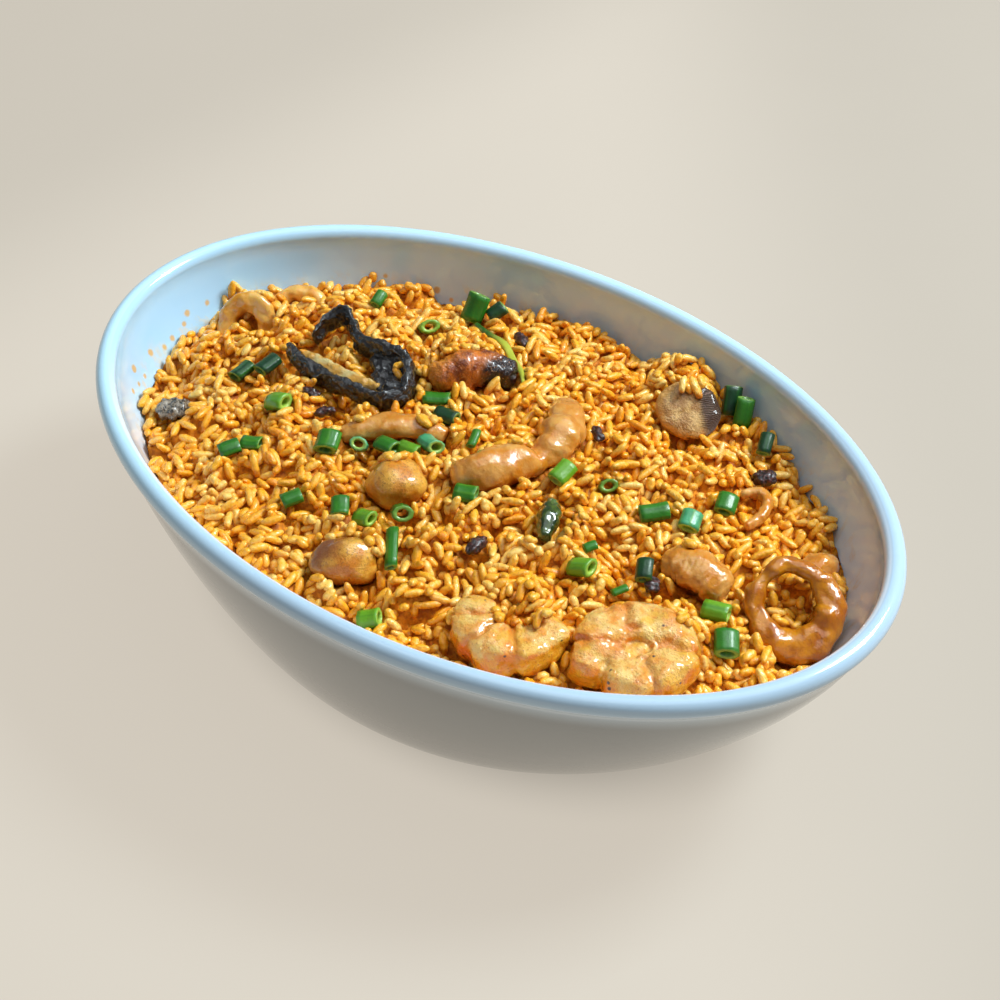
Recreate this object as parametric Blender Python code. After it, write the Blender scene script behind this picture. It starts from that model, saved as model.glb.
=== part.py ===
"""Seafood fried rice heaped in a white oval bowl.

The bowl stands on its foot ring, long axis along X, short axis along Y, +Z up.
The rice is one solid: a bumpy heap that follows the bowl's inside, with the most
prominent grains, spring onion cuts and small dark bits joined on. Each larger
topping is a solid of its own that sits in a socket of the heap.
Sizes below are in millimetres and become metres when a node is finished.
"""
import math
import random

import bmesh
import bpy
from mathutils import Matrix, Vector, noise
from mathutils.bvhtree import BVHTree

METRE = 0.001

# Bowl
RIM_A = 125.0
RIM_B = 82.5
BOWL_HEIGHT = 64.0
LIP_RADIUS = 2.9
LIP_PROUD = 2.3
FOOT_IN_A = 47.0
FOOT_IN_B = 20.7
WALL_POWER = 1.32
WALL = 4.0
FLOOR = 7.0
FOOT_RECESS = 2.4
FOOT_RING = 6.5
BOWL_SIDES = 44

# Rice
GAP = 0.35
HEAP_TOP = 56.5
HEAP_A = 114.4
HEAP_B = 74.3
HEAP_POWER = 2.4
CELL = 4.4
GRAIN_LONG = 8.4
GRAIN_WIDE = 2.9
GRAINS = 4
SEED = 11

WHITE = (0.78, 0.86, 0.90)
RICE = (0.80, 0.42, 0.10)
SHRIMP = (0.88, 0.52, 0.24)
SQUID = (0.74, 0.50, 0.28)
BROWN = (0.45, 0.20, 0.08)
BLACK = (0.03, 0.03, 0.04)
MUSHROOM = (0.62, 0.48, 0.30)
GREEN = (0.05, 0.12, 0.03)
GREY = (0.35, 0.34, 0.32)


# scene upkeep

def clear_scene():
    for obj in list(bpy.data.objects):
        bpy.data.objects.remove(obj, do_unlink=True)


def make_collection(name):
    group = bpy.data.collections.new(name)
    bpy.context.scene.collection.children.link(group)
    return group


def principled(name, colour, roughness, coat=0.0):
    mat = bpy.data.materials.new(name)
    mat.use_nodes = True
    shader = mat.node_tree.nodes["Principled BSDF"]
    shader.inputs["Base Color"].default_value = (*colour, 1.0)
    shader.inputs["Roughness"].default_value = roughness
    shader.inputs["Coat Weight"].default_value = coat
    return mat


def to_object(bm, name, group):
    bmesh.ops.recalc_face_normals(bm, faces=bm.faces[:])
    mesh = bpy.data.meshes.new(name)
    bm.to_mesh(mesh)
    bm.free()
    obj = bpy.data.objects.new(name, mesh)
    group.objects.link(obj)
    return obj


def drop_object(obj):
    mesh = obj.data
    bpy.data.objects.remove(obj, do_unlink=True)
    bpy.data.meshes.remove(mesh)


def drop_collection(group):
    for obj in list(group.objects):
        drop_object(obj)
    bpy.data.collections.remove(group)


def combine(obj, mode, other=None, group=None):
    """Apply one Boolean of obj with another object or with all of a collection."""
    mod = obj.modifiers.new("join", "BOOLEAN")
    mod.operation = mode
    mod.solver = "MANIFOLD"
    if group is None:
        mod.object = other
    else:
        mod.operand_type = "COLLECTION"
        mod.collection = group
    bpy.context.view_layer.update()
    graph = bpy.context.evaluated_depsgraph_get()
    mesh = bpy.data.meshes.new_from_object(obj.evaluated_get(graph))
    obj.modifiers.clear()
    old = obj.data
    obj.data = mesh
    bpy.data.meshes.remove(old)


# shape helpers

def loft(rings, closed=False):
    """Skin a row of point rings; the row is capped at both ends or joined round."""
    bm = bmesh.new()
    rows = [[bm.verts.new(p) for p in ring] for ring in rings]
    count = len(rows[0])
    pairs = list(zip(rows, rows[1:]))
    if closed:
        pairs.append((rows[-1], rows[0]))
    for low, high in pairs:
        for i in range(count):
            j = (i + 1) % count
            bm.faces.new((low[i], low[j], high[j], high[i]))
    if not closed:
        bm.faces.new(rows[0][::-1])
        bm.faces.new(rows[-1])
    bmesh.ops.recalc_face_normals(bm, faces=bm.faces[:])
    return bm


def ellipse(a, b, z, sides):
    step = 2 * math.pi / sides
    return [Vector((a * math.cos(i * step), b * math.sin(i * step), z)) for i in range(sides)]


def smooth_path(points, count):
    """Resample a control path evenly by a Catmull-Rom curve, in any dimension."""
    pts = [tuple(p) for p in points]
    last = len(pts) - 1
    out = []
    for n in range(count):
        t = last * n / (count - 1)
        i = min(int(t), last - 1)
        u = t - i
        p0, p1, p2, p3 = pts[max(i - 1, 0)], pts[i], pts[i + 1], pts[min(i + 2, last)]
        out.append(tuple(
            0.5 * (2 * b + (c - a) * u + (2 * a - 5 * b + 4 * c - d) * u * u
                   + (3 * b - a - 3 * c + d) * u ** 3)
            for a, b, c, d in zip(p0, p1, p2, p3)))
    return out


def sweep(stations, rings, sides, up=(0, 0, 1), round_ends=True, closed=False):
    """Skin elliptical sections along stations of (x, y, z, half width, half height)."""
    if closed:
        stations = list(stations) + [stations[0]]
    line = smooth_path(stations, rings + 1 if closed else rings)
    if closed:
        line = line[:-1]
    total = len(line)
    sections = []
    up = Vector(up)
    for i, row in enumerate(line):
        here = Vector(row[:3])
        if closed:
            before, after = line[i - 1], line[(i + 1) % total]
        else:
            before, after = line[max(i - 1, 0)], line[min(i + 1, total - 1)]
        along = (Vector(after[:3]) - Vector(before[:3])).normalized()
        side = along.cross(up).normalized()
        rise = side.cross(along).normalized()
        sections.append((here, along, side, rise, row[3], row[4]))
    if round_ends and not closed:
        for index, way in ((0, -1), (len(sections) - 1, 1)):
            here, along, side, rise, wide, high = sections[index]
            cap = (here + along * way * 0.55 * high, along, side, rise, wide * 0.55, high * 0.55)
            sections.insert(0 if way < 0 else len(sections), cap)
    out = []
    for here, along, side, rise, wide, high in sections:
        turn = [2 * math.pi * (k + 0.5) / sides for k in range(sides)]
        out.append([here + side * wide * math.cos(a) + rise * high * math.sin(a) for a in turn])
    return loft(out, closed)


def pose(bm, at, turn=0.0, tip=0.0, roll=0.0):
    """Tip the local X axis up, turn it about Z and move it, angles in degrees."""
    spin = (Matrix.Rotation(math.radians(turn), 4, "Z")
            @ Matrix.Rotation(-math.radians(tip), 4, "Y")
            @ Matrix.Rotation(math.radians(roll), 4, "X"))
    bmesh.ops.transform(bm, matrix=Matrix.Translation(Vector(at)) @ spin, verts=bm.verts[:])
    return bm


def ball(radii, around, tall):
    """A faceted ellipsoid."""
    bm = bmesh.new()
    bmesh.ops.create_uvsphere(bm, u_segments=around, v_segments=tall, radius=1.0)
    bmesh.ops.rotate(bm, matrix=Matrix.Rotation(math.pi / 2, 3, "Y"), verts=bm.verts[:])
    bmesh.ops.scale(bm, vec=Vector(radii), verts=bm.verts[:])
    return bm


def tube(radius, length, hollow, sides=5):
    """A cut of spring onion, hollow where its open end shows."""
    if not hollow:
        bm = bmesh.new()
        bmesh.ops.create_cone(bm, cap_ends=True, segments=sides, radius1=radius,
                              radius2=radius, depth=length)
        bmesh.ops.rotate(bm, matrix=Matrix.Rotation(math.pi / 2, 3, "Y"), verts=bm.verts[:])
        return bm
    half = length / 2
    inner = radius - 1.0
    rows = []
    for x, r in ((-half, radius), (half, radius), (half, inner), (-half, inner)):
        rows.append([Vector((x, p.x, p.y)) for p in ellipse(r, r * 0.86, 0, sides)])
    return loft(rows, closed=True)


# bowl

def wall_shape(z, low, high):
    t = min(max((z - low) / (high - low), 0.0), 1.0)
    return (1 - (1 - t) ** WALL_POWER) ** (1 / WALL_POWER)


def outer_axes(z):
    k = wall_shape(z, 0.0, BOWL_HEIGHT - 2 * LIP_RADIUS)
    return (RIM_A - LIP_PROUD - FOOT_IN_A * (1 - k), RIM_B - LIP_PROUD - FOOT_IN_B * (1 - k))


def inner_axes(z):
    k = wall_shape(z, FLOOR, BOWL_HEIGHT - 2 * LIP_RADIUS)
    inset = LIP_PROUD + WALL
    return (RIM_A - inset - FOOT_IN_A * (1 - k), RIM_B - inset - FOOT_IN_B * (1 - k))


def inside_rings():
    """Heights and half axes of the inside wall, from the floor up."""
    floor_a, floor_b = inner_axes(FLOOR)
    rows = [(FLOOR, floor_a - 5.0, floor_b - 5.0)]
    rows += [(z, *inner_axes(z)) for z in (8.0, 15.0, 28.0, 43.0, 57.6)]
    return rows


def build_bowl(group):
    foot_a, foot_b = outer_axes(0.0)
    rows = [(FOOT_RECESS, foot_a - FOOT_RING - 3.0, foot_b - FOOT_RING - 3.0),
            (0.0, foot_a - FOOT_RING, foot_b - FOOT_RING),
            (0.0, foot_a - 0.4, foot_b - 0.4)]
    rows += [(z, *outer_axes(z)) for z in (0.8, 6.0, 16.0, 30.0, 45.0, 58.0)]
    centre = BOWL_HEIGHT - LIP_RADIUS
    for angle in (-45, 0, 45, 90, 140, 186):
        turn = math.radians(angle)
        out = LIP_RADIUS * (1 - math.cos(turn))
        rows.append((centre + LIP_RADIUS * math.sin(turn), RIM_A - out, RIM_B - out))
    rows += inside_rings()[::-1]
    bm = loft([ellipse(a, b, z, BOWL_SIDES) for z, a, b in rows])
    return to_object(bm, "bowl", group)


# heap of rice

MOUNDS = (
    (-72, 54, 9, 3.5), (-44, 65, 8, 3.0), (27, 67, 10, 4.5), (-111, 16, 8, 5.0),
    (45, -33, 8, 3.0), (33, 47, 7, -4.5), (-58, -2, 6, -2.5), (104, 8, 9, -4.0),
    (-63, 58, 5, -3.0), (-34, 33, 7, 3.0),
)


def heap_height(x, y):
    """Smooth level of the rice: a dome down to an edge that rises and falls."""
    turn = math.atan2(y / HEAP_B, x / HEAP_A)
    out = min(math.hypot(x / HEAP_A, y / HEAP_B), 1.0)
    edge = (46.6 - 2.3 * math.cos(2 * turn) - 0.8 * math.sin(2 * turn)
            - 0.8 * math.cos(3 * turn) + 0.35 * math.cos(4 * turn) - 1.8 * math.sin(4 * turn))
    z = HEAP_TOP + (edge - HEAP_TOP) * out ** HEAP_POWER
    for mx, my, spread, rise in MOUNDS:
        z += rise * math.exp(-((x - mx) ** 2 + (y - my) ** 2) / spread ** 2)
    return z


def rough_height(x, y):
    """The heap with clumps and bumps as large as grains."""
    clump = noise.noise(Vector((x / 10.0, y / 10.0, 3.7)))
    lump = noise.noise(Vector((x / 4.6, y / 4.6, 9.1)))
    grain = noise.noise(Vector((x / 2.1, y / 2.1, 5.3)))
    return heap_height(x, y) - 0.6 + 3.0 * clump + 2.2 * lump + 1.4 * grain


def rest_height(x, y, reach):
    """Level on which a small bit lies, so that it always sinks into the rice."""
    around = [(0, 0), (reach, 0), (-reach, 0), (0, reach), (0, -reach)]
    highest = max(rough_height(x + dx, y + dy) for dx, dy in around)
    return min(heap_height(x, y), highest - 0.2)


def build_core(group):
    bm = bmesh.new()
    across, deep = RIM_A, RIM_B
    columns = round(2 * across / CELL)
    rows = round(2 * deep / (CELL * 0.87))
    bmesh.ops.create_grid(bm, x_segments=columns, y_segments=rows, size=1.0)
    draw = random.Random(SEED)
    step = 2 * deep / rows
    for v in bm.verts:
        v.co.x *= across
        v.co.y *= deep
        row = round((v.co.y + deep) / step)
        v.co.x += 0.25 * CELL * (1 if row % 2 else -1) + draw.uniform(-0.6, 0.6)
        v.co.y += draw.uniform(-0.5, 0.5)
        v.co.z = rough_height(v.co.x, v.co.y)
    bmesh.ops.triangulate(bm, faces=bm.faces[:], quad_method="SHORT_EDGE")
    made = bmesh.ops.extrude_face_region(bm, geom=bm.faces[:])
    for item in made["geom"]:
        if isinstance(item, bmesh.types.BMVert):
            item.co.z = -5.0
    core = to_object(bm, "rice", group)
    rings = [ellipse(a - GAP, b - GAP, z + GAP, BOWL_SIDES) for z, a, b in inside_rings()]
    top_a, top_b = inner_axes(57.6)
    rings.append(ellipse(top_a - GAP, top_b - GAP, 75.0, BOWL_SIDES))
    room = to_object(loft(rings), "room", group)
    combine(core, "INTERSECT", other=room)
    drop_object(room)
    return core


# toppings

RIGHT = Vector((0.774, 0.633, 0.0))
AWAY = Vector((-0.633, 0.774, 0.0))


def tilted_ring(centre, half_x, half_y, lean, count, sizes):
    """Stations of an oval in a plane that leans back from the front by lean degrees."""
    tall = AWAY * math.sin(math.radians(lean)) + Vector((0, 0, math.cos(math.radians(lean))))
    out = []
    for i in range(count):
        turn = 2 * math.pi * i / count
        p = Vector(centre) + RIGHT * half_x * math.cos(turn) + tall * half_y * math.sin(turn)
        out.append((*p, *sizes(turn)))
    return out, RIGHT.cross(tall)


def slab(at, radii, lean, turn=0.0):
    """A flattened ball whose broad face leans back and looks to the front."""
    bm = ball(radii, 10, 6)
    face = Vector((0, 0, 1))
    tall = AWAY * math.sin(math.radians(lean)) + face * math.cos(math.radians(lean))
    normal = RIGHT.cross(tall)
    basis = Matrix((RIGHT, tall, normal)).transposed().to_4x4()
    spin = Matrix.Rotation(math.radians(turn), 4, "Z")
    bmesh.ops.transform(bm, matrix=Matrix.Translation(Vector(at)) @ basis @ spin,
                        verts=bm.verts[:])
    return bm


def curled_shrimp():
    """A plump shrimp curled on itself, thick end at the near left."""
    return sweep([(70.6, -42.8, 52.6, 5.0, 6.0), (69.4, -36.2, 54.2, 6.9, 7.4),
                  (70.0, -29.4, 54.4, 6.6, 7.4), (75.2, -24.2, 53.6, 6.7, 6.8),
                  (82.4, -24.4, 52.6, 6.8, 6.8), (86.2, -30.6, 51.9, 6.3, 6.8),
                  (83.6, -37.6, 51.7, 5.6, 6.4), (79.0, -41.2, 51.9, 4.0, 5.2)], 14, 8)


def bent_shrimp():
    """A shrimp bent to a half ring, open to the back."""
    return sweep([(38.2, -45.5, 53.6, 4.6, 5.0), (40.2, -51.0, 53.4, 6.0, 6.6),
                  (48.0, -53.2, 52.8, 6.2, 7.0), (55.6, -48.6, 53.0, 5.9, 6.6),
                  (58.2, -40.6, 53.6, 4.8, 5.2)], 10, 8)


def back_shrimp():
    """A browned shrimp lying across the middle of the back."""
    return sweep([(-28.5, 17.5, 56.0, 4.2, 4.6), (-25.5, 23.5, 56.8, 6.0, 6.0),
                  (-21.0, 29.0, 56.6, 5.6, 5.6), (-15.0, 32.8, 55.4, 3.6, 3.8)], 9, 8)


def right_ring():
    """A squid ring that leans back, thicker at the lower right."""
    def sizes(turn):
        swell = 0.5 + 0.5 * math.cos(turn + 0.9)
        return (2.7 + 1.9 * swell, 2.6 + 1.5 * swell)
    stations, facing = tilted_ring((97.4, 8.2, 50.4), 9.2, 10.9, 56, 16, sizes)
    return sweep(stations, 16, 6, up=facing, closed=True)


def squid_fold():
    """A thick squid piece folded in the middle, with a lobe on each side."""
    return sweep([(3.6, -11.5, 56.6, 4.6, 4.2), (8.6, -5.2, 57.4, 6.4, 5.4),
                  (13.0, 3.0, 57.0, 5.8, 5.0), (15.4, 9.6, 56.2, 4.6, 3.8),
                  (15.8, 15.6, 57.0, 6.0, 5.2), (12.8, 23.0, 57.2, 6.2, 5.2),
                  (7.8, 29.6, 56.0, 4.4, 3.8)], 13, 8)


def squid_barrel():
    """A short curved barrel of squid with blunt ends."""
    return sweep([(64.6, -0.6, 52.2, 5.2, 3.8), (69.6, 0.6, 53.6, 6.4, 4.4),
                  (76.0, 1.4, 53.0, 6.2, 4.4), (80.8, 1.4, 50.8, 4.8, 3.8)], 7, 8)


def squid_flat():
    """A low strip of squid that peeps out under the black fungus."""
    return sweep([(-34.2, -16.8, 54.6, 2.6, 2.4), (-27.0, -9.4, 56.6, 4.2, 3.2),
                  (-19.4, -4.4, 56.8, 4.0, 3.0), (-11.6, -1.0, 55.8, 2.4, 2.2)], 7, 8)


def arch_piece():
    """A see-through strip that stands as an arch at the left end."""
    lean = Vector((0.6, -0.75, 0.3))
    return sweep([(-103.6, 4.0, 44.5, 3.0, 2.0), (-104.4, 8.0, 50.0, 3.2, 2.0),
                  (-100.8, 11.6, 53.6, 3.4, 2.0), (-95.4, 13.2, 51.6, 3.4, 2.0),
                  (-92.4, 11.6, 46.0, 3.0, 2.0)], 11, 6, up=RIGHT.cross(lean).cross(RIGHT))


def back_strip():
    """A see-through strip behind the arch."""
    return sweep([(-100.4, 24.6, 46.4, 2.4, 2.4), (-97.8, 29.0, 48.6, 2.6, 2.6),
                  (-92.0, 32.0, 48.2, 2.6, 2.6), (-88.0, 31.6, 46.0, 2.2, 2.2)], 7, 6)


def hook_piece():
    """A thin hooked strip of squid."""
    return sweep([(64.6, 35.6, 51.4, 1.3, 1.5), (67.8, 38.8, 51.6, 1.5, 1.7),
                  (71.6, 36.6, 51.2, 1.6, 1.8), (73.0, 31.2, 51.0, 1.6, 1.8),
                  (72.0, 26.4, 50.6, 1.2, 1.4)], 9, 6)


def black_fungus():
    """A folded ribbon of black fungus that stands on edge."""
    line = [(-70.6, 10.8, 54.6), (-71.4, 17.6, 56.2), (-68.6, 21.6, 58.6), (-62.8, 18.4, 58.0),
            (-55.8, 14.4, 56.6), (-47.0, 14.6, 57.0), (-38.6, 14.6, 57.4), (-33.2, 8.8, 57.6),
            (-30.0, 3.2, 57.4), (-35.2, -1.6, 57.2), (-44.0, -3.0, 56.0), (-55.6, -1.8, 54.0),
            (-66.0, -0.8, 53.6), (-74.6, 3.0, 53.4)]
    return sweep([(*p, 0.95, 3.4) for p in line], 24, 4, round_ends=False)


def green_pepper():
    """A short piece of dark green pepper."""
    return sweep([(30.0, -5.4, 56.4, 2.2, 2.2), (33.0, -10.6, 57.2, 3.2, 3.0),
                  (35.8, -16.0, 56.4, 1.8, 2.0)], 6, 6)


TOPPINGS = (
    ("shrimp_curled", curled_shrimp, SHRIMP),
    ("shrimp_bent", bent_shrimp, SHRIMP),
    ("shrimp_back", back_shrimp, BROWN),
    ("squid_ring", right_ring, SQUID),
    ("squid_tip", lambda: pose(ball((5.6, 4.2, 4.0), 8, 6), (93.6, 28.6, 46.4), 60), SQUID),
    ("squid_fold", squid_fold, SQUID),
    ("squid_barrel", squid_barrel, SQUID),
    ("squid_flat", squid_flat, SQUID),
    ("squid_hook", hook_piece, SQUID),
    ("arch_piece", arch_piece, SQUID),
    ("back_strip", back_strip, SQUID),
    ("round_middle", lambda: pose(ball((8.4, 7.6, 7.0), 10, 7), (-8.6, -24.4, 55.6), 39), MUSHROOM),
    ("round_left", lambda: pose(ball((9.0, 7.2, 7.0), 10, 7), (-1.2, -53.6, 53.0), 39), MUSHROOM),
    ("mushroom_slice", lambda: slab((34.0, 53.4, 54.0), (9.4, 8.4, 3.2), 58, -20), MUSHROOM),
    ("black_fungus", black_fungus, BLACK),
    ("grey_piece", lambda: pose(ball((5.4, 4.0, 2.8), 8, 5), (-86.4, -34.0, 47.6), 39), GREY),
    ("green_pepper", green_pepper, GREEN),
)


# small bits joined to the rice

# x, y, heading, tip, length, radius of each cut of spring onion
ONIONS = (
    (-81, -11, 87, 8, 6.6, 3.0), (-75, -6, 85, 8, 6.8, 3.0), (-58, -19, 2, 24, 6.6, 2.9),
    (-57, -40, 60, 10, 6.0, 2.4), (-53, -35, 20, 10, 5.6, 2.4), (-34, -24, 117, 12, 6.4, 3.4),
    (-27, -19, 309, 46, 4.6, 2.6), (-19.6, -15.4, 356, 10, 6.2, 2.6), (-10, -8, 340, 16, 6.4, 2.9),
    (-14, -13, 4, 6, 6.2, 2.2), (-24, 11, 29, 4, 7.4, 2.4), (-17, 7, 4, 6, 7.0, 2.4),
    (-50, 38, 320, 40, 5.4, 3.1), (-72, 40, 99, 20, 5.2, 1.8), (-45, 54, 90, 56, 8.6, 3.6),
    (-39, 57, 60, 30, 5.8, 2.5), (-3, 2, 110, 10, 6.0, 1.4), (9.8, -17, 19, 6, 6.2, 2.6),
    (-27, -46, 60, 10, 5.6, 2.4), (-14, -41, 129, 12, 5.8, 2.4), (-6, -40, 354, 24, 5.8, 2.5),
    (1, -33, 320, 36, 5.4, 2.9), (7, -44, 129, 8, 13.0, 1.8), (25, 6, 89, 12, 7.0, 2.6),
    (36, 12, 310, 42, 5.0, 2.6), (52, 11, 47, 4, 8.0, 2.6), (61, 15, 109, 14, 5.6, 2.8),
    (64, 28, 110, 12, 6.0, 2.8), (51, -20, 0, 28, 6.6, 2.9), (63, -9, 120, 20, 6.0, 2.2),
    (61, -17, 60, 10, 4.4, 1.4), (84, -7, 14, 6, 7.0, 2.7), (92, -14, 125, 12, 6.8, 3.3),
    (104.6, 16.6, 120, 30, 4.6, 1.6), (17, -64, 30, 20, 5.4, 2.6), (41, 65.6, 118, 52, 8.4, 2.8),
    (46, 64, 110, 58, 8.6, 2.6), (58, 57, 110, 24, 6.4, 2.0), (47, -11, 60, 10, 3.6, 1.5),
)

# x, y, half sizes of dark or pale bits
BITS = ((64.5, 46.6, 3.3, 2.6, 2.0), (23.6, -29.4, 3.8, 2.0, 1.6), (21.6, 26.6, 3.0, 1.6, 1.4),
        (-55.0, -8.6, 2.8, 1.6, 1.4), (-46.0, -12.4, 3.2, 1.4, 1.4), (66.6, -10.6, 2.4, 2.0, 1.6),
        (-24.6, 51.0, 3.6, 1.6, 1.6))


def onion_cut(x, y, turn, tip, length, radius):
    """A cut of spring onion that lies on the rice or stands with one end in it."""
    angle, heading = math.radians(tip), math.radians(turn)
    rise = 0.5 * length * math.sin(angle)
    if tip > 30:
        back = 0.5 * length * math.cos(angle)
        z = rest_height(x - back * math.cos(heading), y - back * math.sin(heading), 1.5)
        z += rise - 1.2
    else:
        z = rest_height(x, y, 0.35 * length) + rise + 0.45 * radius - 0.3
    hollow = radius > 2.3 and tip > 20
    return pose(tube(radius, length, hollow), (x, y, z), turn, tip)


def small_bits():
    """Yield name and mesh of every small bit, still in its wanted place."""
    for x, y, turn, tip, length, radius in ONIONS:
        yield "onion", onion_cut(x, y, turn, tip, length, radius)
    for i, (x, y, a, b, c) in enumerate(BITS):
        z = rest_height(x, y, 0.5 * a) - 0.2
        yield "bit", pose(ball((a, b, c), 6, 4), (x, y, z), 39 + 50 * i)
    strand = [(-41.0, 49.6), (-33.0, 46.0), (-26.0, 44.2), (-19.0, 40.0), (-12.4, 35.4), (-8.0, 30.6)]
    line = [(x, y, rest_height(x, y, 2.0) + 0.9, 0.8, 0.8) for x, y in strand]
    yield "strand", sweep(line, 8, 5, round_ends=False)


def grain_places():
    """Even spread of grain spots over the heap, from a seeded low-overlap draw."""
    draw = random.Random(SEED + 1)
    spots = []
    apart = 15.0
    tries = 0
    while len(spots) < GRAINS * 2 and tries < 40000:
        tries += 1
        x = draw.uniform(-HEAP_A, HEAP_A)
        y = draw.uniform(-HEAP_B, HEAP_B)
        if math.hypot(x / (HEAP_A - 6), y / (HEAP_B - 6)) > 1:
            continue
        if all((x - p[0]) ** 2 + (y - p[1]) ** 2 > apart ** 2 for p in spots):
            spots.append((x, y, draw.uniform(0, 360), draw.uniform(-14, 30)))
        if tries % 700 == 0:
            apart *= 0.93
    return spots


def is_inside(point, tree):
    """Count crossings of a line straight up from the point."""
    hits = 0
    here = point.copy()
    while hits < 12:
        spot, _, _, _ = tree.ray_cast(here, Vector((0, 0, 1)))
        if spot is None:
            break
        hits += 1
        here = spot + Vector((0, 0, 0.001))
    return hits % 2 == 1


def clashes(bm, trees, room):
    """True where a small bit would touch a topping or the bowl."""
    tree = BVHTree.FromBMesh(bm)
    if any(tree.overlap(other) for other in trees):
        return True
    for v in bm.verts:
        a, b = room(v.co.z)
        if (v.co.x / a) ** 2 + (v.co.y / b) ** 2 > 1:
            return True
    first = bm.verts[:][0].co
    return any(is_inside(first, other) for other in trees)


def settle(bm, trees, room):
    """Move a small bit off what it would touch, towards the middle or up; None if it can't."""
    middle = sum((v.co for v in bm.verts), Vector()) / len(bm.verts)
    ways = [Vector((math.cos(a), math.sin(a), 0.25)) for a in
            [k * math.pi / 4 for k in range(8)]]
    ways.sort(key=lambda w: w.x * middle.x / HEAP_A + w.y * middle.y / HEAP_B)
    for reach in (0.0, 0.8, 1.6, 2.4, 3.4, 4.6):
        for way in ways:
            bmesh.ops.translate(bm, vec=way * reach, verts=bm.verts[:])
            if not clashes(bm, trees, room):
                return bm
            bmesh.ops.translate(bm, vec=-way * reach, verts=bm.verts[:])
            if reach == 0.0:
                break
    bm.free()
    return None


def keep_main_body(obj):
    """Keep the largest shell only, so loose scraps and sealed hollows go."""
    bm = bmesh.new()
    bm.from_mesh(obj.data)
    bmesh.ops.triangulate(bm, faces=bm.faces[:])
    left = set(bm.verts)
    shells = []
    while left:
        stack = [left.pop()]
        shell = set(stack)
        while stack:
            for edge in stack.pop().link_edges:
                for v in edge.verts:
                    if v in left:
                        left.discard(v)
                        shell.add(v)
                        stack.append(v)
        shells.append(shell)
    shells.sort(key=len, reverse=True)
    loose = [v for shell in shells[1:] for v in shell]
    bmesh.ops.delete(bm, geom=loose, context="VERTS")
    bm.to_mesh(obj.data)
    bm.free()
    return len(shells) - 1


def build_toppings(group):
    nodes = []
    for name, maker, colour in TOPPINGS:
        obj = to_object(maker(), name, group)
        mat = principled(name, colour, 0.35, 0.3)
        nodes.append((obj, mat))
    return nodes


def build_rice(group, toppings):
    core = build_core(group)
    grown = make_collection("sockets")
    trees = []
    for obj, _ in toppings:
        bm = bmesh.new()
        bm.from_mesh(obj.data)
        bmesh.ops.triangulate(bm, faces=bm.faces[:])
        bm.normal_update()
        for v in bm.verts:
            v.co += v.normal * GAP * 1.25
        trees.append(BVHTree.FromBMesh(bm))
        to_object(bm, obj.name + "_socket", grown)
    combine(core, "DIFFERENCE", group=grown)
    drop_collection(grown)

    def room(z):
        a, b = inner_axes(z - GAP)
        return (a - GAP - 0.3, b - GAP - 0.3)

    pieces = make_collection("pieces")
    taken = []
    for kind, bm in small_bits():
        bm = settle(bm, trees, room)
        if bm is not None:
            taken.append(sum((v.co for v in bm.verts), Vector()) / len(bm.verts))
            to_object(bm, kind, pieces)
    placed = 0
    for x, y, turn, tip in grain_places():
        if placed >= GRAINS:
            break
        if any((x - p.x) ** 2 + (y - p.y) ** 2 < 36 for p in taken):
            continue
        z = rough_height(x, y) + 0.9
        bm = pose(ball((GRAIN_LONG / 2, GRAIN_WIDE / 2, GRAIN_WIDE * 0.43), 5, 4), (x, y, z), turn, tip)
        if clashes(bm, trees, room):
            bm.free()
            continue
        to_object(bm, "grain", pieces)
        placed += 1
    combine(core, "UNION", group=pieces)
    drop_collection(pieces)
    keep_main_body(core)
    return core


def finish_node(obj, mat):
    obj.data.transform(Matrix.Scale(METRE, 4))
    obj.data.materials.clear()
    obj.data.materials.append(mat)
    for face in obj.data.polygons:
        face.material_index = 0
        face.use_smooth = False
    obj.data.update()


def main():
    clear_scene()
    group = make_collection("fried_rice_bowl")
    bowl = build_bowl(group)
    toppings = build_toppings(group)
    rice = build_rice(group, toppings)
    finish_node(bowl, principled("bowl", WHITE, 0.12, 0.6))
    finish_node(rice, principled("rice", RICE, 0.4, 0.2))
    for obj, mat in toppings:
        finish_node(obj, mat)


main()
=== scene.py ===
"""Seafood fried rice heaped in a white oval bowl: the looks.

Sizes are in millimetres, as in the part, and become metres when a piece is finished.
The bowl's long axis lies along X. Toppings and cuts of spring onion are put in place
first. Single grains are then poured round them, by a height map, and a core fills what
stays open under the grains.
"""

import math
import random

import bmesh
import bpy
import numpy as np
from mathutils import Matrix, Vector, noise
from mathutils.bvhtree import BVHTree


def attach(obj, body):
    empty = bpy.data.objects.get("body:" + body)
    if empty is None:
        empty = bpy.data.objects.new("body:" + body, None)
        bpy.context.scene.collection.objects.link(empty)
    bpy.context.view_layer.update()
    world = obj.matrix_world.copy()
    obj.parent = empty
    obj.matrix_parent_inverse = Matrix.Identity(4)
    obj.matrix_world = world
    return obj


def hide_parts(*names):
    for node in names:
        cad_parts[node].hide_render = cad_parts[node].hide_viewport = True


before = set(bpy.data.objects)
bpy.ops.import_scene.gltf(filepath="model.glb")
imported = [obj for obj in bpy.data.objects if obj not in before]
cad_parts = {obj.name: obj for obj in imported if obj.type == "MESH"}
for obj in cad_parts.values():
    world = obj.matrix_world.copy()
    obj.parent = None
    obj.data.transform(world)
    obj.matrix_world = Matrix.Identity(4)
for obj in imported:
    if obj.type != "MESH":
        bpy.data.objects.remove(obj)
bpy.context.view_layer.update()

METRE = 0.001

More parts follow.
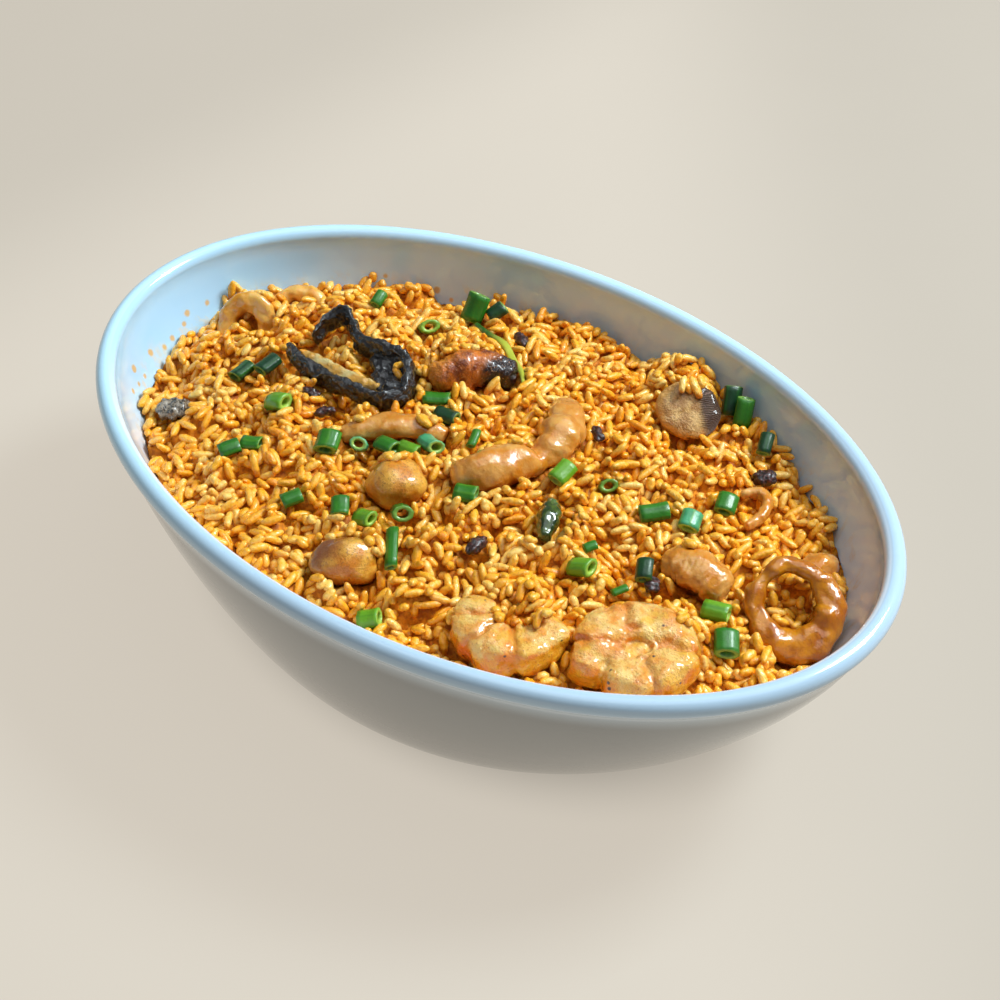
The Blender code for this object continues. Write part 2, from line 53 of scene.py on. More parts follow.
# Bowl
RIM_A = 125.0            # half length over the lip
RIM_B = 82.5             # half width over the lip
BOWL_HEIGHT = 64.0
LIP_RADIUS = 2.9
LIP_PROUD = 2.3          # how far the lip stands out from the wall
FOOT_IN_A = 47.0         # how far the foot lies in from the wall's top, along X
FOOT_IN_B = 20.7         # and along Y
WALL_POWER = 1.32        # 1 is a straight wall, 2 a quarter of an oval
WALL = 4.0
FLOOR = 7.0              # top of the floor inside
FOOT_RECESS = 2.4
FOOT_RING = 6.5
LIP_LOW = BOWL_HEIGHT - 2 * LIP_RADIUS
BOWL_SIDES = 224

# Heap of rice
GAP = 0.35               # air between the rice and the wall
HEAP_TOP = 56.5
HEAP_A = 114.4
HEAP_B = 74.3
HEAP_POWER = 2.4

# Core under the grains
CORE_DEPTH = 4.0         # from the heap's level down to the bare core
FILL_DEPTH = 1.8         # from the grains' mean top down to the core between them
CORE_GAP = 0.8
CORE_RINGS = 140
CORE_SIDES = 420

# Grains
MAP_STEP = 0.5
MAP_REACH = 10           # cells round a grain's middle that its footprint may cover
SLOPE_REACH = 4          # cells over which the slope under a grain is read
SINK = 0.9               # how far a grain presses in between its neighbours
GRAIN_HALF = (3.15, 1.18, 1.10)
GRAIN_SIZES = (0.80, 1.22)
BROKEN_SHARE = 0.36
BROKEN_CUT = (0.5, 0.72)
LOOSE_SHARE = 0.4        # share of grains that lie at any tilt instead of flat
LOOSE_TILT = 1.2
STEEPEST = 1.3
PLACES_TRIED = 10
LIES_TRIED = 5
LEAST_GAP = 0.5          # a place closer than this to its level takes no grain
BED_GRAINS = 2100
TOP_GRAINS = 5500

# Directions across and up the picture, on the table
RIGHT = Vector((0.774, 0.633, 0.0))
AWAY = Vector((-0.633, 0.774, 0.0))


# colour and shader helpers

def srgb(red, green, blue):
    """Scene colour of a screen colour given from 0 to 255."""
    out = []
    for value in (red, green, blue):
        c = value / 255
        out.append(c / 12.92 if c <= 0.04045 else ((c + 0.055) / 1.055) ** 2.4)
    return tuple(out)


class Wire:
    """A shader socket on which arithmetic adds Math nodes."""

    def __init__(self, graph, socket):
        self.graph = graph
        self.socket = socket

    def math(self, operation, *values):
        return self.graph.node("ShaderNodeMath", {"operation": operation},
                               dict(enumerate(values)))

    def __add__(self, other):
        return self.math("ADD", self, other)

    def __sub__(self, other):
        return self.math("SUBTRACT", self, other)

    def __rsub__(self, other):
        return self.math("SUBTRACT", other, self)

    def __mul__(self, other):
        return self.math("MULTIPLY", self, other)

    def __pow__(self, other):
        return self.math("POWER", self, other)

    __radd__ = __add__
    __rmul__ = __mul__

    def limit(self):
        return self.math("MINIMUM", self.math("MAXIMUM", self, 0.0), 1.0)


class Finish:
    """A material built round its Principled shader."""

    def __init__(self, name):
        self.material = bpy.data.materials.new(name)
        self.material.use_nodes = True
        self.tree = self.material.node_tree
        self.shader = self.tree.nodes["Principled BSDF"]
        self.spot = None

    def node(self, kind, settings=None, inputs=None, output=0):
        """Add one node: its settings first, then the values or links of its sockets."""
        made = self.tree.nodes.new(kind)
        for name, value in (settings or {}).items():
            setattr(made, name, value)
        for name, value in (inputs or {}).items():
            self.feed(made.inputs[name], value)
        return Wire(self, made.outputs[output])

    def feed(self, socket, value):
        if isinstance(value, Wire):
            self.tree.links.new(value.socket, socket)
        elif socket.type == "RGBA":
            socket.default_value = (*value, 1.0)
        else:
            socket.default_value = value

    def place(self):
        """Object coordinates in millimetres."""
        if self.spot is None:
            spot = self.node("ShaderNodeTexCoord", output="Object")
            self.spot = self.node("ShaderNodeMapping", None,
                                  {"Vector": spot, "Scale": (1 / METRE,) * 3})
        return self.spot

    def axis(self, name):
        return self.node("ShaderNodeSeparateXYZ", None, {0: self.place()}, name)

    def tone(self, channel):
        """One channel of the piece's own painted values."""
        paint = self.node("ShaderNodeAttribute", {"attribute_name": "tone"}, output="Color")
        return self.node("ShaderNodeSeparateColor", None, {0: paint}, channel)

    def noise(self, size, detail=2.0, rough=0.5, stretch=None, warp=0.0):
        at = self.place()
        if stretch:
            at = self.node("ShaderNodeMapping", None, {"Vector": at, "Scale": stretch})
        return self.node("ShaderNodeTexNoise", None, {
            "Vector": at, "Scale": 1 / size, "Detail": detail, "Roughness": rough,
            "Distortion": warp})

    def cells(self, size):
        return self.node("ShaderNodeTexVoronoi", None,
                         {"Vector": self.place(), "Scale": 1 / size})

    def gap_to(self, spot):
        """Distance in millimetres from one spot."""
        return self.node("ShaderNodeVectorMath", {"operation": "DISTANCE"},
                         {0: self.place(), 1: spot}, "Value")

    def mask(self, value, low, high):
        """0 below low and 1 above high, or the other way round where low is the larger."""
        return self.node("ShaderNodeMapRange", {"interpolation_type": "SMOOTHSTEP"},
                         {0: value, 1: low, 2: high, 3: 0.0, 4: 1.0})

    def mix(self, factor, one, two):
        return self.node("ShaderNodeMix", {"data_type": "RGBA"}, {0: factor, 6: one, 7: two}, 2)

    def bump(self, height, depth, strength=1.0):
        """Normal from a height of 0 to 1 that stands for depth millimetres."""
        return self.node("ShaderNodeBump", None, {
            "Height": height, "Distance": depth * METRE, "Strength": strength})

    def paint(self, **values):
        """Set or link the shader's sockets, named in lower case with underscores."""
        for name, value in values.items():
            socket = name.replace("_", " ").title().replace("Ior", "IOR")
            self.feed(self.shader.inputs[socket], value)
        return self.material

    def translucent(self, weight, radii):
        """Let light into the surface, radii millimetres deep in red, green and blue."""
        self.shader.inputs["Subsurface Weight"].default_value = weight
        self.shader.inputs["Subsurface Radius"].default_value = radii
        self.shader.inputs["Subsurface Scale"].default_value = METRE


# shape helpers

def smooth_path(points, count):
    """Resample a control path evenly by a Catmull-Rom curve, in any dimension."""
    pts = [tuple(p) for p in points]
    last = len(pts) - 1
    out = []
    for n in range(count):
        t = last * n / (count - 1)
        i = min(int(t), last - 1)
        u = t - i
        p0, p1, p2, p3 = pts[max(i - 1, 0)], pts[i], pts[i + 1], pts[min(i + 2, last)]
        out.append(tuple(
            0.5 * (2 * b + (c - a) * u + (2 * a - 5 * b + 4 * c - d) * u * u
                   + (3 * b - a - 3 * c + d) * u ** 3)
            for a, b, c, d in zip(p0, p1, p2, p3)))
    return out


CAP_RINGS = 5


def section_places(stations, rings, up, closed, reach):
    """Axes, middle and share of the way of each cross section along a path.

    An open path ends in round caps that stand reach half heights past its last stations.
    """
    if closed:
        stations = list(stations) + [stations[0]]
    line = smooth_path(stations, rings + 1 if closed else rings)
    if closed:
        line = line[:-1]
    total = len(line)
    out = []
    for i, row in enumerate(line):
        if closed:
            before, after = line[i - 1], line[(i + 1) % total]
        else:
            before, after = line[max(i - 1, 0)], line[min(i + 1, total - 1)]
        along = (Vector(after[:3]) - Vector(before[:3])).normalized()
        side = along.cross(Vector(up)).normalized()
        rise = side.cross(along).normalized()
        out.append((Vector(row[:3]), along, side, rise, row[3], row[4], i / max(total - 1, 1)))
    if reach and not closed:
        for index, way in ((0, -1), (total - 1, 1)):
            here, along, side, rise, wide, high, share = out[index if way < 0 else -1]
            for k in range(1, CAP_RINGS + 1):
                turn = 0.5 * math.pi * k / (CAP_RINGS + 0.12)
                spot = here + along * way * reach * high * math.sin(turn)
                out.insert(0 if way < 0 else len(out), (
                    spot, along, side, rise, wide * math.cos(turn), high * math.cos(turn), share))
    return [(Matrix((side * wide, rise * high, along)).transposed().to_4x4(), here, share)
            for here, along, side, rise, wide, high, share in out]


def first_ring(bm, sides):
    """Points and edges of the unit circle that a sweep starts from."""
    ring = bmesh.ops.create_circle(bm, segments=sides, radius=1.0)["verts"]
    return ring, list({edge for v in ring for edge in v.link_edges})


def next_ring(bm, rim):
    """Points and edges of the ring that comes of extruding the rim once."""
    made = bmesh.ops.extrude_edge_only(bm, edges=rim)["geom"]
    ring = [item for item in made if isinstance(item, bmesh.types.BMVert)]
    fresh = set(ring)
    return ring, [item for item in made if isinstance(item, bmesh.types.BMEdge)
                  and item.verts[0] in fresh and item.verts[1] in fresh]


def skin(stations, rings, sides, up=(0, 0, 1), closed=False, reach=0.64, form=None):
    """Extrude a circle section by section along stations of (x, y, z, half width, half height).

    form(share, angle) gives a factor on the radius. The painted values of a point are
    its share of the way, its share of the turn and nothing in the third channel.
    """
    bm = bmesh.new()
    tone = bm.verts.layers.float_color.new("tone")
    ring, rim = first_ring(bm, sides)
    first = rim
    last = Matrix.Identity(4)
    rows = []
    for i, (basis, here, share) in enumerate(section_places(stations, rings, up, closed, reach)):
        matrix = Matrix.Translation(here) @ basis
        if i:
            ring, rim = next_ring(bm, rim)
        bmesh.ops.transform(bm, matrix=matrix @ last.inverted(), verts=ring)
        rows.append((matrix, share, ring))
        last = matrix
    for matrix, share, ring in rows:
        back = matrix.inverted()
        for v in ring:
            flat = back @ v.co
            angle = math.atan2(flat.y, flat.x)
            v[tone] = (share, angle / (2 * math.pi) % 1.0, 0.0, 1.0)
            if form:
                factor = form(share, angle)
                v.co = matrix @ Vector((flat.x * factor, flat.y * factor, flat.z))
    if closed:
        bmesh.ops.bridge_loops(bm, edges=first + rim)
    else:
        bmesh.ops.holes_fill(bm, edges=[edge for edge in bm.edges if edge.is_boundary])
    bmesh.ops.recalc_face_normals(bm, faces=bm.faces[:])
    return bm


def roughen(bm, size, depth, seed):
    """Push the surface in and out by smooth noise, size across and depth deep."""
    bm.normal_update()
    moves = []
    for v in bm.verts:
        amount = depth * noise.noise(v.co / size + Vector((seed, 2 * seed, 3 * seed)))
        moves.append(v.normal * amount)
    for v, move in zip(bm.verts, moves):
        v.co += move
    return bm


def pose(bm, at, turn=0.0, tip=0.0, roll=0.0):
    """Tip the local X axis up, turn it about Z and move it, angles in degrees."""
    spin = (Matrix.Rotation(math.radians(turn), 4, "Z")
            @ Matrix.Rotation(-math.radians(tip), 4, "Y")
            @ Matrix.Rotation(math.radians(roll), 4, "X"))
    bmesh.ops.transform(bm, matrix=Matrix.Translation(Vector(at)) @ spin, verts=bm.verts[:])
    return bm


def ball(radii, around=48, tall=32):
    bm = bmesh.new()
    bmesh.ops.create_uvsphere(bm, u_segments=around, v_segments=tall, radius=1.0)
    bmesh.ops.rotate(bm, matrix=Matrix.Rotation(math.pi / 2, 3, "Y"), verts=bm.verts[:])
    bmesh.ops.scale(bm, vec=Vector(radii), verts=bm.verts[:])
    bm.verts.layers.float_color.new("tone")
    return bm


def lump(at, radii, turn=0.0):
    return pose(ball(radii, 32, 22), at, turn)


def fused(lumps, voxel):
    """One skin round several lumps that overlap, by a voxel remesh, then smoothed once."""
    whole = join(lumps)
    mesh = bpy.data.meshes.new("lumps")
    whole.to_mesh(mesh)
    whole.free()
    obj = bpy.data.objects.new("lumps", mesh)
    bpy.context.scene.collection.objects.link(obj)
    remesh = obj.modifiers.new("skin", "REMESH")
    remesh.mode = "VOXEL"
    remesh.voxel_size = voxel
    shown = obj.evaluated_get(bpy.context.evaluated_depsgraph_get())
    bm = bmesh.new()
    bm.from_mesh(shown.to_mesh())
    shown.to_mesh_clear()
    bpy.data.objects.remove(obj)
    bpy.data.meshes.remove(mesh)
    if "tone" not in bm.verts.layers.float_color:
        bm.verts.layers.float_color.new("tone")
    bmesh.ops.smooth_vert(bm, verts=bm.verts[:], factor=0.5, use_axis_x=True,
                          use_axis_y=True, use_axis_z=True)
    return bm


def press_flat(bm, level, share):
    """Squeeze what stands above a level, as a face that lay on the pan."""
    for v in bm.verts:
        if v.co.z > level:
            v.co.z = level + (v.co.z - level) * share
    return bm


def mark_upper(bm):
    """Paint how far each point faces up into the third channel, 0.5 on upright sides."""
    bm.normal_update()
    return paint_points(bm, lambda v, old: (old[0], old[1], 0.5 + 0.5 * v.normal.z, 1.0))


def paint_points(bm, rule):
    """Set the painted values of every point from rule(v, old values)."""
    tone = bm.verts.layers.float_color["tone"]
    for v in bm.verts:
        v[tone] = rule(v, v[tone])
    return bm


def join(bms):
    """One bmesh of several, which are freed."""
    whole = bmesh.new()
    whole.verts.layers.float_color.new("tone")
    for bm in bms:
        mesh = bpy.data.meshes.new("part")
        bm.to_mesh(mesh)
        bm.free()
        whole.from_mesh(mesh)
        bpy.data.meshes.remove(mesh)
    return whole


def settle_object(obj, material, slot, nodes):
    """Put a piece in the scene with its finish, on the one body, in place of CAD nodes."""
    bpy.context.scene.collection.objects.link(obj)
    obj.data.materials.append(material)
    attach(obj, "root")
    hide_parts(*nodes)
    return obj


def finish_piece(bm, name, material, slot, nodes):
    """Turn a bmesh in millimetres into a finished piece that stands for CAD nodes."""
    bmesh.ops.recalc_face_normals(bm, faces=bm.faces[:])
    bmesh.ops.scale(bm, vec=Vector((METRE,) * 3), verts=bm.verts[:])
    for face in bm.faces:
        face.smooth = True
    mesh = bpy.data.meshes.new(name)
    bm.to_mesh(mesh)
    bm.free()
    return settle_object(bpy.data.objects.new(name, mesh), material, slot, nodes)


# bowl

def wall_shape(z, low):
    """0 at the foot of the wall and 1 under the lip."""
    t = min(max((z - low) / (LIP_LOW - low), 0.0), 1.0)
    return (1 - (1 - t) ** WALL_POWER) ** (1 / WALL_POWER)


def outer_axes(z):
    """Half length and half width of the bowl's outside at a height."""
    k = wall_shape(z, 0.0)
    return (RIM_A - LIP_PROUD - FOOT_IN_A * (1 - k), RIM_B - LIP_PROUD - FOOT_IN_B * (1 - k))


def inner_axes(z):
    """Half length and half width of the bowl's inside at a height."""
    k = wall_shape(z, FLOOR)
    inset = LIP_PROUD + WALL
    return (RIM_A - inset - FOOT_IN_A * (1 - k), RIM_B - inset - FOOT_IN_B * (1 - k))


def bowl_profile():
    """Rows of height, half length, half width and whether the row is inside the bowl."""
    foot_a, foot_b = outer_axes(0.0)
    rows = [(FOOT_RECESS, 0.0, 0.0, 0)]
    for z, inset in ((FOOT_RECESS, FOOT_RING + 4.4), (2.0, FOOT_RING + 3.0),
                     (0.6, FOOT_RING + 1.6), (0.0, FOOT_RING), (0.0, 1.7), (0.3, 0.5)):
        rows.append((z, foot_a - inset, foot_b - inset, 0))
    rows += [(z, *outer_axes(z), 0) for z in
             (0.9, 1.8, 3.2, 5.0, 7.5, 10.5, 14, 18, 22, 27, 32, 37, 42, 47, 52, 56)]
    centre = BOWL_HEIGHT - LIP_RADIUS
    for angle in range(-45, 196, 15):
        turn = math.radians(angle)
        out = LIP_RADIUS * (1 - math.cos(turn))
        rows.append((centre + LIP_RADIUS * math.sin(turn), RIM_A - out, RIM_B - out,
                     int(angle > 110)))
    rows += [(z, *inner_axes(z), 1) for z in
             (57, 54.5, 52, 49.5, 47, 44.5, 42, 38, 34, 29, 24, 19, 15, 11.5, 9, 7.7)]
    floor_a, floor_b = inner_axes(FLOOR)
    rows += [(FLOOR + 0.15, floor_a - 1.0, floor_b - 1.0, 1), (FLOOR, floor_a - 4, floor_b - 4, 1),
             (FLOOR, 0.0, 0.0, 1)]
    return rows


def spun_oval(rows, sides):
    """Spin a profile round Z and draw each of its rings out to its own half axes.

    Through the spin a row's first painted value carries a hundredth of how much it is
    longer than wide. Its third value stays: 1 marks the inside.
    """
    bm = bmesh.new()
    tone = bm.verts.layers.float_color.new("tone")
    line = []
    for z, a, b, inside in rows:
        v = bm.verts.new((b, 0.0, z))
        v[tone] = ((a - b) * 0.01, 0.0, inside, 1.0)
        line.append(v)
    edges = [bm.edges.new(pair) for pair in zip(line, line[1:])]
    bmesh.ops.spin(bm, geom=line + edges, cent=(0, 0, 0), axis=(0, 0, 1), angle=2 * math.pi,
                   steps=sides, use_merge=True)
    for v in bm.verts:
        radius = math.hypot(v.co.x, v.co.y)
        if radius > 0.001:
            v.co.x *= (radius + v[tone][0] * 100) / radius
        v[tone] = (0.0, 0.0, v[tone][2], 1.0)
    bmesh.ops.remove_doubles(bm, verts=bm.verts[:], dist=0.0005)
    bmesh.ops.recalc_face_normals(bm, faces=bm.faces[:])
    return bm


# turn about Z, height and radius of the oil drops on the inside wall
WALL_DROPS = (
    (204.6, 51.2, 1.4), (206.0, 47.7, 0.9), (202.2, 46.6, 1.0), (209.9, 49.4, 0.9),
    (180.3, 49.5, 1.1), (182.5, 47.5, 0.9), (187.5, 46.5, 1.0), (174.3, 49.3, 0.9),
    (134.6, 49.5, 0.9), (125.4, 47.0, 1.3), (122.9, 44.6, 0.9), (102.3, 47.0, 1.1),
    (105.8, 45.6, 0.8), (196.0, 48.6, 1.2), (191.0, 46.4, 1.0),
)


def glaze():
    """White glaze with painted light: a grey outside that is partly painted shade, a painted blue
    cast of sky light inside and on the lip, and oil on the inside wall.
    """
    f = Finish("bowl_glaze")
    height, across, deep = f.axis("Z"), f.axis("X"), f.axis("Y")
    inside = f.tone("Blue")
    cloud = f.noise(26.0, 3.0)
    fine = f.noise(3.2, 3.0, 0.6)
    # the outside is grey all round, partly painted shade of its near side
    body = f.mix(cloud, srgb(146, 148, 147), srgb(152, 154, 153))
    # inside white, with a painted blue cast of sky light towards the back
    wall = f.mix(f.mask(deep, 10.0, 60.0), srgb(244, 246, 250), srgb(204, 232, 255))
    body = f.mix(inside, body, wall)
    # painted shade: the outside darker towards the foot
    body = f.mix(f.mask(height, 54.0, 10.0) * (1 - inside) * 0.6, body, srgb(104, 105, 101))
    # painted light: a blue cast of sky light on the inside of the left end, where the light falls
    body = f.mix(inside * f.mask(across, -74.0, -112.0), body, srgb(176, 214, 240))
    # the lip: a painted blue reflection of the sky, painted darker on the near right as shade
    lip = f.mix(f.mask(across - deep * 0.6, 60.0, -60.0),
                srgb(184, 209, 229), srgb(198, 236, 255))
    body = f.mix(f.mask(height, 51.0, 61.0) * (1 - inside * 0.6), body, lip)
    streak = f.noise(7.0, 4.0, 0.65, stretch=(1.0, 1.0, 0.45), warp=0.6)
    film = f.mask(height + (streak - 0.5) * 9.0, 53.2, 47.5) * inside
    smear = film * f.mask(streak + fine * 0.25, 0.62, 0.84)
    drops = 0.0
    for turn, z, size in WALL_DROPS:
        a, b = inner_axes(z)
        spot = (a * math.cos(math.radians(turn)), b * math.sin(math.radians(turn)), z)
        drops = f.mask(f.gap_to(spot) + fine * 1.3, size + 0.9, size + 0.1) + drops
    drops = (drops * inside).limit()
    colour = f.mix(smear * 0.5, body, srgb(236, 198, 124))
    colour = f.mix(drops * 0.8, colour, srgb(222, 166, 60))
    return f.paint(base_color=colour, roughness=0.10 + 0.05 * fine + 0.12 * smear,
                   specular_ior_level=0.55, coat_weight=0.35,
                   normal=f.bump(cloud + 0.15 * fine, 0.10, 0.5))


def make_bowl():
    finish_piece(spun_oval(bowl_profile(), BOWL_SIDES), "glazed_bowl", glaze(), "bowl", ["bowl"])


# heap of rice

# x, y, spread and rise of mounds and dips in the heap
MOUNDS = (
    (-72, 54, 9, 3.5), (-44, 65, 8, 3.0), (27, 67, 10, 4.5), (-111, 16, 8, 5.0),
    (45, -33, 8, 3.0), (33, 47, 7, -4.5), (-58, -2, 6, -2.5), (104, 8, 9, -4.0),
    (-63, 58, 5, -3.0), (-34, 33, 7, 3.0),
)


def heap_height(x, y):
    """Smooth level of the rice: a dome down to an edge that rises and falls."""
    turn = math.atan2(y / HEAP_B, x / HEAP_A)
    out = min(math.hypot(x / HEAP_A, y / HEAP_B), 1.0)
    edge = (46.6 - 2.3 * math.cos(2 * turn) - 0.8 * math.sin(2 * turn)
            - 0.8 * math.cos(3 * turn) + 0.35 * math.cos(4 * turn) - 1.8 * math.sin(4 * turn))
    z = HEAP_TOP + (edge - HEAP_TOP) * out ** HEAP_POWER
    for mx, my, spread, rise in MOUNDS:
        z += rise * math.exp(-((x - mx) ** 2 + (y - my) ** 2) / spread ** 2)
    return z


def rough_height(x, y):
    """The heap with clumps and bumps as large as grains."""
    clump = noise.noise(Vector((x / 10.0, y / 10.0, 3.7)))
    lump = noise.noise(Vector((x / 4.6, y / 4.6, 9.1)))
    grain = noise.noise(Vector((x / 2.1, y / 2.1, 5.3)))
    return heap_height(x, y) - 0.6 + 3.0 * clump + 2.2 * lump + 1.4 * grain


def rest_height(x, y, reach):
    """Level on which a small bit lies, so that it always sinks into the rice."""
    around = [(0, 0), (reach, 0), (-reach, 0), (0, reach), (0, -reach)]
    highest = max(rough_height(x + dx, y + dy) for dx, dy in around)
    return min(heap_height(x, y), highest - 0.2)


# x, y, reach and depth of the darker hollows between clumps
HOLLOWS = (
    (39.7, 41.2, 5.0, 4.0), (54.4, 39.3, 4.0, 3.5), (-2.1, -69.0, 4.0, 3.5),
    (-46.5, -7.7, 4.5, 3.5), (38.4, -12.8, 3.5, 3.5), (80.1, -3.9, 3.5, 3.5),
    (67.0, -10.0, 3.0, 3.0), (25.3, -34.1, 3.5, 3.0), (-25.2, 13.8, 3.0, 3.0),
    (11.9, -56.3, 3.5, 3.0), (20.0, -20.0, 3.5, 2.5), (-36.0, -42.0, 4.0, 3.0),
)
CLUMP = 15.0
CLEFT_HALF = 2.6


def clump_relief(x, y):
    """Clumps that stand a little proud, with clefts where they part and a few hollows."""
    bend = 5.0 * noise.noise(Vector((x / 11.0, y / 11.0, 50.0)))
    near, second = noise.voronoi(Vector(((x + bend) / CLUMP, (y - bend) / CLUMP, 0.4)))[0][:2]
    cleft = max(1 - (second - near) * CLUMP / (2 * CLEFT_HALF), 0.0)
    deep = 3.0 + 3.4 * noise.noise(Vector((x / 20.0, y / 20.0, 21.0)))
    rise = noise.noise(Vector((x / 6.0, y / 6.0, 33.0)))
    z = 1.5 + 2.0 * rise - max(deep, 0.0) * cleft
    for hx, hy, reach, depth in HOLLOWS:
        z -= depth * math.exp(-((x - hx) ** 2 + (y - hy) ** 2) / reach ** 2)
    return z


def blurred(grid, reach):
    """Mean of a grid over a square of cells round each cell."""
    steps = range(-reach, reach + 1)
    return sum(np.roll(grid, (a, b), (0, 1)) for a in steps for b in steps) / len(steps) ** 2


class HeightMap:
    """What lies in the bowl, seen from above on a fine grid, for grains to rest on."""

    def __init__(self):
        self.xs = np.arange(-RIM_A, RIM_A + MAP_STEP / 2, MAP_STEP)
        self.ys = np.arange(-RIM_B, RIM_B + MAP_STEP / 2, MAP_STEP)
        shape = (len(self.xs), len(self.ys))
        self.wall = np.full(shape, FLOOR)
        gx, gy = np.meshgrid(self.xs, self.ys, indexing="ij")
        for z in np.arange(FLOOR, BOWL_HEIGHT, 0.25):
            a, b = inner_axes(z)
            self.wall[(gx / (a - GAP)) ** 2 + (gy / (b - GAP)) ** 2 > 1] = z
        self.level = np.full(shape, FLOOR)
        inside = (gx / (HEAP_A + 3)) ** 2 + (gy / (HEAP_B + 3)) ** 2 < 1
        for i, j in np.argwhere(inside):
            x, y = self.xs[i], self.ys[j]
            self.level[i, j] = rough_height(x, y) + clump_relief(x, y)
        self.top = np.full(shape, -1.0)
        self.grain_top = np.full(shape, -1.0)
        self.under = np.full(shape, 99.0)
        self.height = self.wall.copy()
        reach = np.arange(-MAP_REACH, MAP_REACH + 1) * MAP_STEP
        self.dx, self.dy = np.meshgrid(reach, reach, indexing="ij")

    def index(self, x, y):
        """Cell nearest to a spot."""
        return (int(round((x + RIM_A) / MAP_STEP)), int(round((y + RIM_B) / MAP_STEP)))

    def add(self, bm):
        """Note the top and the underside of a piece that grains must go round."""
        tree = BVHTree.FromBMesh(bm)
        xs = [v.co.x for v in bm.verts]
        ys = [v.co.y for v in bm.verts]
        i0, j0 = self.index(min(xs), min(ys))
        i1, j1 = self.index(max(xs), max(ys))
        down, up = Vector((0, 0, -1)), Vector((0, 0, 1))
        for i in range(i0, i1 + 1):
            for j in range(j0, j1 + 1):
                x, y = self.xs[i], self.ys[j]
                high = tree.ray_cast(Vector((x, y, 90.0)), down)[0]
                if high is None:
                    continue
                low = tree.ray_cast(Vector((x, y, 0.0)), up)[0]
                self.top[i, j] = max(self.top[i, j], high.z)
                self.under[i, j] = min(self.under[i, j], low.z)

    def core(self):
        """Height of the bare core, which stays under every topping."""
        return np.minimum(self.level - CORE_DEPTH, self.under - 0.6)

    def filled(self):
        """Height of the core that shows between grains, just under their mean top."""
        known = (self.grain_top > 0).astype(float)
        share = blurred(known, 3)
        mean = blurred(np.where(known > 0, self.grain_top, 0.0), 3) / np.maximum(share, 0.01)
        level = np.where(share > 0.3, mean - FILL_DEPTH, self.core())
        return np.maximum(np.minimum(level, self.under - 0.6), self.wall + 0.4)

    def rest(self, i, j, heading, tilt, half):
        """Lowest height at which a grain over a cell touches nothing, and its footprint."""
        window = (slice(i - MAP_REACH, i + MAP_REACH + 1),
                  slice(j - MAP_REACH, j + MAP_REACH + 1))
        u = self.dx * math.cos(heading) + self.dy * math.sin(heading)
        v = self.dy * math.cos(heading) - self.dx * math.sin(heading)
        flat = half[0] * math.cos(tilt)
        tall = half[2] * math.sin(tilt)
        reach = math.hypot(flat, tall)
        room = 1 - np.abs(u / reach) ** 2.4 - (v / half[1]) ** 2
        under = room > 0
        thick = half[0] * half[2] / reach * np.sqrt(room[under])
        lean = (half[0] ** 2 - half[2] ** 2) * math.sin(tilt) * math.cos(tilt) / reach ** 2
        slope = u[under] * lean
        z = (self.height[window][under] - slope + thick).max() - SINK
        return z, window, under, slope + thick

    def slope_along(self, i, j, heading):
        """Angle at which the ground rises along a heading."""
        di, dj = round(SLOPE_REACH * math.cos(heading)), round(SLOPE_REACH * math.sin(heading))
        rise = self.height[i + di, j + dj] - self.height[i - di, j - dj]
        return math.atan2(rise, 2 * SLOPE_REACH * MAP_STEP)


def pour(heap, target, ceiling, count, draw, misses=4000):
    """Drop grains where the heap is furthest below target, none of them over ceiling.

    Each grain comes back as x, y, z, heading, tilt, three half sizes and whether it is broken.
    """
    cells = np.argwhere(target > heap.height + LEAST_GAP)
    grains = []
    failed = 0
    while len(grains) < count and failed < misses and len(cells):
        picks = cells[draw.integers(0, len(cells), PLACES_TRIED)]
        short = target[picks[:, 0], picks[:, 1]] - heap.height[picks[:, 0], picks[:, 1]]
        i, j = picks[int(short.argmax())]
        if short.max() < LEAST_GAP:
            failed += 1
            continue
        broken = draw.random() < BROKEN_SHARE
        size = draw.uniform(*GRAIN_SIZES)
        half = (GRAIN_HALF[0] * size * (draw.uniform(*BROKEN_CUT) if broken else 1.0),
                GRAIN_HALF[1] * draw.uniform(0.88, 1.12), GRAIN_HALF[2] * draw.uniform(0.9, 1.1))
        loose = draw.random() < LOOSE_SHARE
        best = None
        for _ in range(1 if loose else LIES_TRIED):
            heading = draw.uniform(0, 2 * math.pi)
            lean = draw.uniform(-LOOSE_TILT, LOOSE_TILT) if loose else draw.normal(0, 0.2)
            tilt = min(max(heap.slope_along(i, j, heading) + lean, -STEEPEST), STEEPEST)
            found = (*heap.rest(i, j, heading, tilt, half), heading, tilt)
            if best is None or found[0] < best[0]:
                best = found
        z, window, under, upper, heading, tilt = best
        top = z + upper
        if (top > ceiling[window][under]).any():
            failed += 1
            continue
        for record in (heap.height, heap.grain_top):
            patch = record[window]
            patch[under] = np.maximum(patch[under], top)
        failed = max(failed - 1, 0)
        grains.append((heap.xs[i], heap.ys[j], z, heading, tilt, *half, broken))
    return grains


def base_grain(bend, blunt, seed):
    """Points and faces of one unit grain, long axis along X, a little lumpy."""
    bm = bmesh.new()
    bmesh.ops.create_uvsphere(bm, u_segments=8, v_segments=8, radius=1.0)
    bmesh.ops.rotate(bm, matrix=Matrix.Rotation(math.pi / 2, 3, "Y"), verts=bm.verts[:])
    for v in bm.verts:
        x = v.co.x
        ring = math.sqrt(max(1 - x * x, 0.0))
        fuller = math.sqrt(max(1 - abs(x) ** blunt, 0.0))
        if ring > 0.01:
            v.co.y *= fuller / ring
            v.co.z *= fuller / ring
        lump = 1 + 0.30 * noise.noise(v.co * 1.7 + Vector((seed, 0, 0)))
        v.co.y = v.co.y * lump + bend * (0.4 - x * x)
        v.co.z *= lump
    points = np.array([v.co[:] for v in bm.verts])
    faces = [[v.index for v in face.verts] for face in bm.faces]
    bm.free()
    return points, faces


